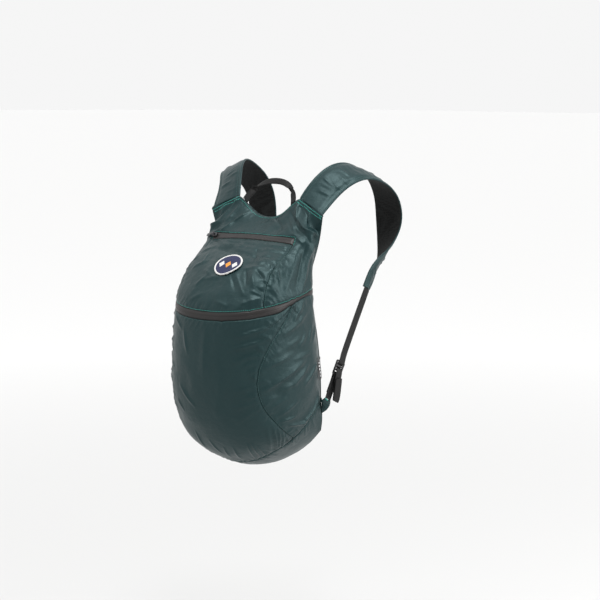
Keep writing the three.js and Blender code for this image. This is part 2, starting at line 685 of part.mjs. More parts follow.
addPair("strap_lining", sweep(strapSections, ({ width }) => {
  const lined = width / 2 - liningInset;
  const low = -seatGap - liningThickness;
  return [[-lined, low], [-lined, -seatGap], [0, -seatGap], [lined, -seatGap], [lined, low], [0, low]];
}), "black");

// Cloth tab that ties the lower webbing to the bag's corner
const tabBase = bagPoint(plainPoint(1, bottomRow).x + tabGap, -cloth / 2, plainPoint(1, bottomRow).z);
const tabPlaces = tabLine.map(({ out, forward, rise, width, turn }) => ({
  point: tabBase.clone().add(new THREE.Vector3(out * anchorOut, forward * anchorOut, rise * anchorOut)),
  width,
  turn: new THREE.Vector3(...turn),
}));
const tabSteps = 5;
const tabSections = sectionsAlong(tabPlaces, tabSteps, webbingWidth);
addPair("anchor_tab", sweep(tabSections,
  ({ width }) => flatOutline(width, -tabThickness / 2, tabThickness / 2)), "shell");

// Straight run of the lower webbing, from the strap's end to the tab
const strapEnd = strapSections[strapSteps];
const runStart = strapEnd.centre.clone().addScaledVector(strapEnd.outward, strapThickness / 2)
  .addScaledVector(strapEnd.tangent, webbingEndGap);
const tabEnd = tabSections[tabSteps];
const tabTip = tabEnd.centre.clone().addScaledVector(tabEnd.tangent, webbingEndGap);
const run = tabTip.clone().sub(runStart);
const runLength = run.length();
const runDown = run.clone().normalize();
const runOut = new THREE.Vector3(1, 0, 0).addScaledVector(runDown, -runDown.x).normalize();
const runAcross = runDown.clone().cross(runOut);

// Webbing that follows a path beside the straight run: how far down it, out of it and along its width.
const sharpestMitre = 0.6; // cosine at which a turn's mitre stops growing
function ribbon(path) {
  const places = path.map(([down, out, aside = 0]) => runStart.clone().addScaledVector(runDown, down)
    .addScaledVector(runOut, out).addScaledVector(runAcross, aside));
  const sections = places.map((place, k) => {
    const one = places[Math.max(1, k)].clone().sub(places[Math.max(1, k) - 1]).normalize();
    const next = Math.min(places.length - 1, k + 1);
    const two = places[next].clone().sub(places[next - 1]).normalize();
    const tangent = one.clone().add(two).normalize();
    const across = runAcross.clone().addScaledVector(tangent, -runAcross.dot(tangent)).normalize();
    const mitre = 1 / Math.max(sharpestMitre, one.dot(tangent));
    return { centre: place, across, outward: across.clone().cross(tangent).multiplyScalar(mitre) };
  });
  return sweep(sections, () => flatOutline(webbingWidth, -webbingThickness / 2, webbingThickness / 2));
}

// Solids that are cut and joined
const joinDepth = 0.3; // overlap of two solids that are joined into one
function solid(geometry) {
  const plain = geometry.clone();
  plain.deleteAttribute("normal");
  plain.deleteAttribute("uv");
  const merged = mergeVertices(plain, 1e-4);
  return new wasm.Manifold(new wasm.Mesh({
    numProp: 3,
    vertProperties: merged.attributes.position.array,
    triVerts: new Uint32Array(merged.index.array),
  }));
}
function geometryOf(body) {
  const mesh = body.getMesh();
  const geometry = new THREE.BufferGeometry();
  geometry.setAttribute("position", new THREE.BufferAttribute(mesh.vertProperties, 3));
  geometry.setIndex(new THREE.BufferAttribute(mesh.triVerts, 1));
  return geometry;
}
function box(length, width, height, x, y, z) {
  return solid(new THREE.BoxGeometry(length, width, height).translate(x, y, z));
}
function rodAcross(diameter, length, x, z, sides) {
  return solid(new THREE.CylinderGeometry(diameter / 2, diameter / 2, length, sides).translate(x, 0, z));
}

// Adjuster: a flat frame with four bars. Its bars lie at these places down the run.
const adjusterSlots = 3;
const pitch = adjusterBar + adjusterSlot;
const adjusterTop = adjusterShare * runLength;
const barTop = (bar) => adjusterTop + bar * pitch;
const slotWidth = webbingWidth + 2 * slotPlay;
const adjusterLength = adjusterSlots * pitch + adjusterBar;
const adjusterShape = new THREE.Shape();
const halfFrame = slotWidth / 2 + adjusterRail;
adjusterShape.moveTo(adjusterCorner, -halfFrame);
adjusterShape.lineTo(adjusterLength - adjusterCorner, -halfFrame);
adjusterShape.lineTo(adjusterLength, -halfFrame + adjusterCorner);
adjusterShape.lineTo(adjusterLength, halfFrame - adjusterCorner);
adjusterShape.lineTo(adjusterLength - adjusterCorner, halfFrame);
adjusterShape.lineTo(adjusterCorner, halfFrame);
adjusterShape.lineTo(0, halfFrame - adjusterCorner);
adjusterShape.lineTo(0, -halfFrame + adjusterCorner);
adjusterShape.closePath();
const plainFrame = { depth: adjusterThickness, bevelEnabled: false };
let adjusterFrame = solid(new THREE.ExtrudeGeometry(adjusterShape, plainFrame)
  .translate(0, 0, -adjusterThickness / 2));
for (let slot = 0; slot < adjusterSlots; slot += 1) {
  const middle = slot * pitch + adjusterBar + adjusterSlot / 2;
  adjusterFrame = adjusterFrame.subtract(box(adjusterSlot, slotWidth, 2 * adjusterThickness, middle, 0, 0));
}
addPair("ladder_lock", geometryOf(adjusterFrame).translate(adjusterTop, 0, 0).applyMatrix4(new THREE.Matrix4()
  .makeBasis(runDown, runAcross.clone().negate(), runOut).setPosition(runStart)), "plastic");

// The upper webbing goes down over the first bar, back under the second, out again and hangs down as
// a free end that is folded up on itself.
const face = adjusterThickness / 2 + webbingLift + webbingThickness / 2;
const slotEntry = 0.15; // place of a strand in a slot beside a bar, as a share of the slot
const slotIn = adjusterSlot * slotEntry;
const lastBar = barTop(adjusterSlots);
const tailDown = lastBar + freeEnd;
const tailSwing = 0.4; // sideways fall of the free end for each length down
const asideAt = (down) => -tailSwing * (down - lastBar);
const tailOut = face + webbingThickness + 2 * webbingLift;
const foldOut = tailOut + webbingThickness + 3 * webbingLift;
addPair("strap_webbing", ribbon([
  [0, 0],
  [adjusterTop - 2 * pitch, 0],
  [adjusterTop - pitch, face / 2],
  [adjusterTop, face],
  [barTop(0) + adjusterBar + slotIn, face],
  [barTop(1) - slotIn, -face],
  [barTop(1) + adjusterBar + slotIn, -face],
  [barTop(2) - slotIn, face],
  [barTop(2) + adjusterBar, tailOut],
  [lastBar + adjusterBar, tailOut, asideAt(lastBar + adjusterBar)],
  [tailDown - adjusterBar, tailOut, asideAt(tailDown - adjusterBar)],
  [tailDown, (tailOut + foldOut) / 2, asideAt(tailDown)],
  [tailDown - adjusterBar, foldOut + webbingLift, asideAt(tailDown - adjusterBar)],
  [lastBar + 2 * adjusterBar, foldOut, asideAt(lastBar + 2 * adjusterBar)],
]), "black");

// The lower webbing loops round the last bar, and its back leg is sewn to the front one.
const legOut = seatGap + webbingThickness;
const loopTurn = lastBar - adjusterSlot / 2;
const legsMeet = lastBar + 3 * adjusterBar;
const shortLeg = 0.75; // length of the back leg, as a share of the front one
addPair("anchor_webbing", ribbon([
  [runLength, 0],
  [legsMeet, 0],
  [lastBar + adjusterBar, face],
  [lastBar - webbingLift, face],
  [loopTurn, face / 2],
  [loopTurn, -face / 2],
  [lastBar - webbingLift, -face],
  [lastBar + adjusterBar, -face],
  [legsMeet, -legOut],
  [lerp(legsMeet, runLength, shortLeg), -legOut],
]), "black");

// Grab handle over the neck cut
const handleEnd = plainPoint(handleAlong, 0);
const handleTop = handleEnd.z + handleRise;
const handleHalf = handleLine.map(({ out, forward, rise, turn }) => ({
  point: new THREE.Vector3(
    out * handleEnd.x,
    handleEnd.y + edgeDepth / 2 + forward * handleForward,
    lerp(handleEnd.z + handleLift, handleTop, rise),
  ),
  width: 1,
  turn: new THREE.Vector3(...turn),
}));
const handlePlaces = [
  ...handleHalf.slice(1).reverse().map(({ point, width, turn }) => ({
    point: new THREE.Vector3(-point.x, point.y, point.z),
    width,
    turn: new THREE.Vector3(-turn.x, turn.y, turn.z),
  })),
  ...handleHalf,
];
const handleSteps = 24;
const handleSections = sectionsAlong(handlePlaces, handleSteps, handleWidth);
addPiece("grab_handle", sweep(handleSections,
  ({ width }) => flatOutline(width, -handleThickness / 2, handleThickness / 2)), "black");

// Side and row of the cloth at a distance across and down from a place on it.
function clothSpot(side0, row0, across, down) {
  const start = clothPoint(side0, row0);
  const outward = outwardAt(side0, row0, clothPoint);
  const downward = clothPoint(side0, row0 + probe).sub(clothPoint(side0, row0 - probe));
  downward.addScaledVector(outward, -downward.dot(outward)).normalize();
  const sideways = downward.clone().cross(outward);
  let side = side0;
  let row = row0;
  for (let step = 0; step < 4; step += 1) {
    const here = clothPoint(side, row).sub(start);
    const bySide = clothPoint(side + probe, row).sub(start).sub(here).divideScalar(probe);
    const byRow = clothPoint(side, row + probe).sub(start).sub(here).divideScalar(probe);
    const missAcross = across - here.dot(sideways);
    const missDown = down - here.dot(downward);
    const a = bySide.dot(sideways);
    const b = byRow.dot(sideways);
    const c = bySide.dot(downward);
    const d = byRow.dot(downward);
    const determinant = a * d - b * c;
    side += (missAcross * d - missDown * b) / determinant;
    row += (a * missDown - c * missAcross) / determinant;
  }
  return { side, row };
}

function liftedPoint({ side, row }, lift) {
  return clothPoint(side, row).addScaledVector(outwardAt(side, row, clothPoint), lift);
}

// Embroidered round badge on the pocket
const badgeRings = 2;
const badgeSides = 20;
const badgeLift = 0.9;
const badgeSpots = [clothSpot(badgeSide, badgeRow, 0, 0)];
for (let ring = 1; ring <= badgeRings; ring += 1) {
  for (let k = 0; k < badgeSides; k += 1) {
    const angle = (2 * Math.PI * k) / badgeSides;
    const radius = (patchDiameter / 2) * (ring / badgeRings);
    badgeSpots.push(clothSpot(badgeSide, badgeRow, radius * Math.cos(angle), radius * Math.sin(angle)));
  }
}
const badgePoints = [
  ...badgeSpots.map((spot) => liftedPoint(spot, badgeLift + patchThickness)),
  ...badgeSpots.map((spot) => liftedPoint(spot, badgeLift)),
];
const badgeTriangles = [];
const under = badgeSpots.length;
for (let k = 0; k < badgeSides; k += 1) {
  const next = (k + 1) % badgeSides;
  badgeTriangles.push(0, 1 + k, 1 + next, under, under + 1 + next, under + 1 + k);
  for (let ring = 1; ring < badgeRings; ring += 1) {
    const a = 1 + (ring - 1) * badgeSides + k;
    const b = 1 + (ring - 1) * badgeSides + next;
    badgeTriangles.push(a, a + badgeSides, b + badgeSides, a, b + badgeSides, b);
    badgeTriangles.push(under + a, under + b + badgeSides, under + a + badgeSides);
    badgeTriangles.push(under + a, under + b, under + b + badgeSides);
  }
  const rimA = 1 + (badgeRings - 1) * badgeSides + k;
  const rimB = 1 + (badgeRings - 1) * badgeSides + next;
  badgeTriangles.push(rimA, under + rimA, under + rimB, rimA, under + rimB, rimB);
}
addPiece("round_badge", closedGeometry(badgePoints, badgeTriangles), "badge");

// Small label sewn into the back seam on the right, lying on the side panel
const labelRows = 4;
const labelLift = 1.2;
const labelGrid = [];
for (let j = 0; j <= labelRows; j += 1) {
  const line = [];
  for (const share of [0, 0.5, 1]) {
    const down = (j / labelRows - 0.5) * labelHeight;
    const { side, row } = clothSpot(labelSide, labelRow, (share - 0.5) * labelWidth, down);
    line.push(liftedPoint({ side: Math.min(1, side), row }, labelLift + labelThickness));
  }
  labelGrid.push(line);
}
addPiece("side_label", sheet(labelGrid, labelThickness), "black");

// Zip sliders, each built flat: +X along the zip towards its end, +Z out of the cloth
const eyeHole = pinDiameter + 2 * pinPlay;
const eyeDiameter = eyeHole + 2 * eyeWall;
const pinHeight = sliderThickness + seatGap + eyeDiameter / 2;
const pinPlace = sliderLength / 2 - pinInset;
const cheekAcross = tongueWidth / 2 + pinPlay + cheekThickness / 2;
const pinSides = 12;
const eyeSides = 16;
function sliderBody() {
  let body = box(sliderLength, sliderWidth, sliderThickness, 0, 0, sliderThickness / 2);
  const cheekLength = pinDiameter + 2 * cheekWall;
  const cheekBase = sliderThickness - joinDepth;
  const cheekHeight = pinHeight + pinDiameter / 2 + cheekWall - cheekBase;
  for (const sign of [-1, 1]) {
    body = body.add(box(cheekLength, cheekThickness, cheekHeight, pinPlace, sign * cheekAcross,
      cheekBase + cheekHeight / 2));
  }
  return body.add(rodAcross(pinDiameter, 2 * cheekAcross, pinPlace, pinHeight, pinSides));
}
function pullBody() {
  const neckLength = eyeDiameter / 2 + pullNeck;
  const eye = rodAcross(eyeDiameter, tongueWidth, 0, 0, eyeSides);
  const neck = box(neckLength, tongueWidth, pullThickness, neckLength / 2, 0, 0);
  const tabStart = neckLength - joinDepth;
  const tabLength = pullLength - tabStart;
  const tab = box(tabLength, pullWidth, pullThickness, tabStart + tabLength / 2, 0, 0);
  return eye.add(neck).add(tab).subtract(rodAcross(eyeHole, 2 * tongueWidth, 0, 0, eyeSides));
}
function placeOn(mesh, side, row, towards, lift) {
  const outward = outwardAt(side, row, clothPoint);
  const heading = clothPoint(side + towards * probe, row).sub(clothPoint(side, row));
  heading.addScaledVector(outward, -heading.dot(outward)).normalize();
  const across = outward.clone().cross(heading);
  mesh.quaternion.setFromRotationMatrix(new THREE.Matrix4().makeBasis(heading, across, outward));
  mesh.position.copy(clothPoint(side, row)).addScaledVector(outward, lift);
  return mesh;
}
const pocketSlider = placeOn(addPiece("pocket_zip_slider", geometryOf(sliderBody()), "slider"),
  -pocketSliderSide, pocketZipRow, -1, sliderLift);
const pull = addPiece("pocket_zip_pull", geometryOf(pullBody()), "slider");
pull.quaternion.copy(pocketSlider.quaternion)
  .multiply(new THREE.Quaternion().setFromAxisAngle(new THREE.Vector3(0, 1, 0), pullRest));
pull.position.copy(new THREE.Vector3(pinPlace, 0, pinHeight).applyQuaternion(pocketSlider.quaternion)
  .add(pocketSlider.position));

// Main zip slider at the hidden left end, with its tab lying flat, in one piece
const mainTabHeight = sliderThickness - joinDepth + pullThickness / 2;
const mainBody = box(sliderLength, sliderWidth, sliderThickness, 0, 0, sliderThickness / 2)
  .add(box(pullLength, pullWidth, pullThickness, mainTabOver - pullLength / 2, 0, mainTabHeight));
placeOn(addPiece("main_zip_slider", geometryOf(mainBody), "slider"),
  -mainSliderSide, mainZipRow, -1, sliderLift);

export default backpack;
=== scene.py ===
import math

import bpy
import numpy as np
from mathutils import Matrix, Vector, noise
from mathutils.kdtree import KDTree


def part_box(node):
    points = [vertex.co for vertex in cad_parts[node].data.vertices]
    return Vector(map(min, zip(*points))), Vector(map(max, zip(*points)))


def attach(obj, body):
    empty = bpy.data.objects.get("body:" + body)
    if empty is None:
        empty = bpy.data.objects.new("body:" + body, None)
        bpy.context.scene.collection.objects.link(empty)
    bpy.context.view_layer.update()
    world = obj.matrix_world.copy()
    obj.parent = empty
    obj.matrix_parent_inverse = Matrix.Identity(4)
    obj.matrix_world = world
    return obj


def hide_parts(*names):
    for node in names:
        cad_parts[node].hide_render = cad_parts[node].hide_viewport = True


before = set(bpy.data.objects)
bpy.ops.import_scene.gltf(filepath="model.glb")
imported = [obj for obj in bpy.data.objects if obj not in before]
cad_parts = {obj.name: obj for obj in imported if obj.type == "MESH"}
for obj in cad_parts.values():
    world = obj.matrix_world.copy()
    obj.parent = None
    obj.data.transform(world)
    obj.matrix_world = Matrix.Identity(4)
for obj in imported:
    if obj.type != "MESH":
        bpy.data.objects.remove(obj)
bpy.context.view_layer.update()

# Camera
# A long lens a little above the pack and behind its right side, aimed so that the point between the
# shoulders lands where the photograph has it.
TURN = math.radians(35)
RISE = math.radians(8)
DISTANCE = 3.333
AIM = Vector((0.0266, -0.0259, -0.2595))
away = Vector((math.sin(TURN) * math.cos(RISE), -math.cos(TURN) * math.cos(RISE), math.sin(RISE)))
lens = bpy.data.cameras.new("camera")
lens.lens = 100
lens.sensor_width = 36
lens.clip_end = 50
camera = bpy.data.objects.new("camera", lens)
bpy.context.scene.collection.objects.link(camera)
camera.location = AIM + away * DISTANCE
camera.rotation_euler = away.to_track_quat("Z", "Y").to_euler()
bpy.context.scene.camera = camera


# Studio
# A floor well below the pack, which hangs as if worn, pale far off and painted darker near the pack
# as a painted shade beneath it, a white room that is dimmer on the camera's side, and two soft boxes.
FLOOR_HEIGHT = -1.1
FLOOR_SHADE_NEAR = (0.59, 0.59, 0.587)
FLOOR_FAR = (0.90, 0.90, 0.896)
bpy.ops.object.select_all(action="DESELECT")
bpy.ops.mesh.primitive_plane_add(size=80, location=(0, 0, FLOOR_HEIGHT))
floor = bpy.context.object
floor.name = "floor"
bpy.ops.object.transform_apply(location=True)


class Wire:
    """A socket of a material's nodes, with the sums and products that a pattern needs."""

    def __init__(self, tree, socket):
        self.tree = tree
        self.socket = socket

    def math(self, operation, *others):
        node = self.tree.nodes.new("ShaderNodeMath")
        node.operation = operation
        for k, value in enumerate((self, *others)):
            if isinstance(value, Wire):
                self.tree.links.new(value.socket, node.inputs[k])
            else:
                node.inputs[k].default_value = value
        return Wire(self.tree, node.outputs[0])

    def __add__(self, other):
        return self.math("ADD", other)

    __radd__ = __add__

    def __mul__(self, other):
        return self.math("MULTIPLY", other)

    __rmul__ = __mul__

    def __sub__(self, other):
        return self.math("SUBTRACT", other)

    def __rsub__(self, other):
        return (self * -1) + other

    def __truediv__(self, other):
        return self.math("DIVIDE", other)

    def wave(self, pitch):
        """0 to 1 and back over each pitch."""
        return (self * (2 * math.pi / pitch)).math("SINE") * 0.5 + 0.5

    def above(self, edge, blur):
        """0 below the edge and 1 above it, softly over the blur."""
        share = self.math("SUBTRACT", edge - blur / 2).math("DIVIDE", blur)
        return share.math("MAXIMUM", 0).math("MINIMUM", 1)


class Finish:
    """A material with one shader, whose set sockets are given by name and whose nodes are made by kind."""

    def __init__(self, name, **sockets):
        self.material = bpy.data.materials.new(name)
        self.material.use_nodes = True
        self.tree = self.material.node_tree
        self.shader = self.tree.nodes["Principled BSDF"]
        for socket, value in sockets.items():
            self.shader.inputs[socket.replace("_", " ").title().replace("Ior", "IOR")].default_value = value

    def node(self, kind, settings=None, output=0, **inputs):
        made = self.tree.nodes.new(kind)
        for key, value in (settings or {}).items():
            setattr(made, key, value)
        for socket, value in inputs.items():
            target = made.inputs[int(socket[1:]) if socket[1:].isdigit() else socket.replace("_", " ")]
            if isinstance(value, Wire):
                self.tree.links.new(value.socket, target)
            else:
                target.default_value = value
        return Wire(self.tree, made.outputs[output])

    def place(self):
        return self.node("ShaderNodeTexCoord", output="Object")

    def read(self, name):
        """A number that the mesh keeps for each of its points."""
        return self.node("ShaderNodeAttribute", {"attribute_name": name}, output="Fac")

    def cloud(self, size, detail=3, at=None, stretch=(1, 1, 1), turn=(0, 0, 0)):
        """Soft noise with spots of a size in metres, from 0 to 1."""
        mapped = self.node("ShaderNodeMapping", Vector=at or self.place(), Scale=stretch, Rotation=turn)
        return self.node("ShaderNodeTexNoise", Vector=mapped, Scale=1 / size, Detail=detail, Roughness=0.55)

    def between(self, low, high, share, blend="MIX"):
        """A colour between two, by a share. Each is three numbers or a wire."""
        low, high = (colour if isinstance(colour, Wire) else (*colour, 1) for colour in (low, high))
        return self.node("ShaderNodeMix", {"data_type": "RGBA", "blend_type": blend}, output=2,
                         i0=share, i6=low, i7=high)

    def paint(self, colour):
        self.tree.links.new(colour.socket, self.shader.inputs["Base Color"])

    def feed(self, socket, value):
        self.tree.links.new(value.socket, self.shader.inputs[socket])

    def relief(self, height, depth):
        """Bump from a height of 0 to 1, with its real depth in metres."""
        bump = self.node("ShaderNodeBump", Height=height, Distance=depth)
        self.tree.links.new(bump.socket, self.shader.inputs["Normal"])


paper = Finish("studio_floor", roughness=0.9)
# Within a few metres of the pack the floor is painted darker, a painted shade under the pack that also throws
# less light up onto it.
from_pack = paper.node("ShaderNodeVectorMath", {"operation": "LENGTH"}, output="Value", i0=paper.place())
paper.paint(paper.between(FLOOR_SHADE_NEAR, FLOOR_FAR, from_pack.above(2.6, 3.6)))
floor.data.materials.append(paper.material)

ROOM_LOW = 0.92
ROOM_HIGH = 1.35
DIM_SHARE = 0.8
# Edge and blur of each change of the room's light, by how far a ray runs up or towards the camera.
LIGHT_ABOVE = (0.6, 0.9)
DIM_ABOVE = (0.15, 0.25)
DIM_TOWARDS = (0.72, 0.4)
world = bpy.data.worlds.new("studio")
bpy.context.scene.world = world
world.use_nodes = True
sky = world.node_tree.nodes["Background"]
sky.inputs["Color"].default_value = (1, 1, 1, 1)


def room_towards(direction):
    """How far a ray runs towards a direction, from -1 to 1."""
    ray = world.node_tree.nodes.new("ShaderNodeTexCoord")
    share = world.node_tree.nodes.new("ShaderNodeVectorMath")
    share.operation = "DOT_PRODUCT"
    share.inputs[1].default_value = direction
    world.node_tree.links.new(ray.outputs["Generated"], share.inputs[0])
    return Wire(world.node_tree, share.outputs["Value"])


height = room_towards((0, 0, 1))
room = height.above(*LIGHT_ABOVE) * (ROOM_HIGH - ROOM_LOW) + ROOM_LOW
dimmed = 1 - room_towards(away).above(*DIM_TOWARDS) * height.above(*DIM_ABOVE) * DIM_SHARE
world.node_tree.links.new((room * dimmed).socket, sky.inputs["Strength"])
bpy.context.scene.view_settings.view_transform = "Standard"


def soft_box(name, size, power, place, target):
    """A soft box of a size in metres and a power in watts, turned from its place to a target."""
    light = bpy.data.lights.new(name, "AREA")
    light.shape = "RECTANGLE"
    light.size, light.size_y = size
    light.energy = power
    lamp = bpy.data.objects.new(name, light)
    bpy.context.scene.collection.objects.link(lamp)
    lamp.location = place
    lamp.rotation_euler = (Vector(target) - Vector(place)).to_track_quat("-Z", "Y").to_euler()


soft_box("key_light", (0.9, 0.7), 38, (0.6, -0.85, 2.05), (0, -0.15, -0.2))
soft_box("side_light", (0.8, 1.8), 30, (2.2, 0.5, 0.6), (0, -0.1, -0.3))


# Bag cloth
# The bag is cut from one thin coated nylon: a yoke over the shoulders, a pocket front, a large lower
# front, two side panels and a curved base, sewn edge to edge with the two zip tapes. All of it is
# worked as one sheet, so that folds run on across the seams, and then parted along them. Each panel
# is named with the direction that its outer face looks to.
PANELS = {
    "yoke": (0, -1, 0.2),
    "upper_front_panel": (0, -1, 0),
    "front_panel": (0, -1, 0),
    "side_panel_left": (-1, -0.2, 0),
    "side_panel_right": (1, -0.2, 0),
    "bottom_gusset": (0, -0.2, -1),
    "main_zip": (0, -1, 0),
    "pocket_zip": (0, -1, 0),
}
SEAM_WELD = 0.0008
RIM_ANGLE = math.radians(58)


def select_only(piece):
    """Leaves one piece selected and active."""
    bpy.ops.object.select_all(action="DESELECT")
    piece.select_set(True)
    bpy.context.view_layer.objects.active = piece


def copy_of(node, name):
    """A new piece with its own merged copy of a solid's mesh, selected alone."""
    piece = bpy.data.objects.new(name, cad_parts[node].data.copy())
    bpy.context.scene.collection.objects.link(piece)
    select_only(piece)
    piece.data.materials.clear()
    bpy.ops.object.mode_set(mode="EDIT")
    bpy.ops.mesh.select_all(action="SELECT")
    bpy.ops.mesh.remove_doubles(threshold=1e-5)
    bpy.ops.mesh.select_mode(type="FACE")
    bpy.ops.mesh.select_all(action="DESELECT")
    bpy.ops.object.mode_set(mode="OBJECT")
    return piece


def widest_facing(piece, outward):
    """The largest face of a solid that looks to one side."""
    direction = Vector(outward).normalized()
    facing = [face for face in piece.data.polygons if face.normal.dot(direction) > 0.6]
    return max(facing, key=lambda face: face.area)


def keep_sheet(piece, first):
    """Cuts a cloth solid down to the side that one of its faces lies on, in four-sided faces."""
    first.select = True
    bpy.ops.object.mode_set(mode="EDIT")
    bpy.ops.mesh.faces_select_linked_flat(sharpness=RIM_ANGLE)
    bpy.ops.mesh.select_all(action="INVERT")
    bpy.ops.mesh.delete(type="FACE")
    bpy.ops.mesh.select_all(action="SELECT")
    bpy.ops.mesh.tris_convert_to_quads(face_threshold=math.pi, shape_threshold=math.pi)
    bpy.ops.object.mode_set(mode="OBJECT")


sheets = []
for panel, outward in PANELS.items():
    skin = copy_of(panel, panel + "_skin")
    keep_sheet(skin, widest_facing(skin, outward))
    skin.data.materials.append(bpy.data.materials.new(panel))
    sheets.append(skin)

select_only(sheets[0])
for skin in sheets:
    skin.select_set(True)
bpy.ops.object.join()
bag = bpy.context.object
bag.name = "bag_cloth"
bpy.ops.object.mode_set(mode="EDIT")
bpy.ops.mesh.select_all(action="SELECT")
bpy.ops.mesh.remove_doubles(threshold=SEAM_WELD)
bpy.ops.object.mode_set(mode="OBJECT")


def subdivide(piece, levels):
    smoother = piece.modifiers.new("smoother", "SUBSURF")
    smoother.levels = smoother.render_levels = levels
    smoother.boundary_smooth = "PRESERVE_CORNERS"
    select_only(piece)
    bpy.ops.object.modifier_apply(modifier="smoother")


subdivide(bag, 3)


def places_of(piece):
    """The mesh's points as rows of x, y, z."""
    rows = np.zeros(len(piece.data.vertices) * 3)
    piece.data.vertices.foreach_get("co", rows)
    return rows.reshape(-1, 3)


def put_places(piece, rows):
    piece.data.vertices.foreach_set("co", rows.ravel())
    piece.data.update()


def normals_of(piece):
    rows = np.zeros(len(piece.data.vertices) * 3, np.float32)
    piece.data.vertex_normals.foreach_get("vector", rows)
    return rows.reshape(-1, 3).astype(float)


PHOTO_WIDTH = 600
PHOTO_SPREAD = lens.sensor_width / lens.lens


def seen_at(x, y):
    """The spot on the bag cloth behind a pixel of the photograph, and the cloth's normal there."""
    ray = Vector(((x / PHOTO_WIDTH - 0.5) * PHOTO_SPREAD, (0.5 - y / PHOTO_WIDTH) * PHOTO_SPREAD, -1))
    turned = camera.matrix_world.to_3x3() @ ray
    _, place, normal, _ = bag.ray_cast(camera.location, turned.normalized())
    return np.array(place), np.array(normal)


FOLD_OVERRUN = 0.15
FOLD_REACH = 0.03


def ridge_height(rows, start, end, normal, width, height):
    """How far one fold lifts each point: a soft ridge from start to end that thins out at both ends."""
    along = end - start
    length = np.linalg.norm(along)
    along = along / length
    across = np.cross(normal, along)
    across /= np.linalg.norm(across)
    offset = rows - start
    share = offset @ along / length
    aside = offset @ across / width
    level = np.abs(offset @ normal)
    share = (share + FOLD_OVERRUN) / (1 + 2 * FOLD_OVERRUN)
    near = (share > 0) & (share < 1) & (np.abs(aside) < 3) & (level < FOLD_REACH)
    lift = np.zeros(len(rows))
    taper = np.sin(np.pi * share[near]) ** 0.8
    lift[near] = height * taper * np.exp(-np.abs(aside[near]) ** 1.5)
    return lift


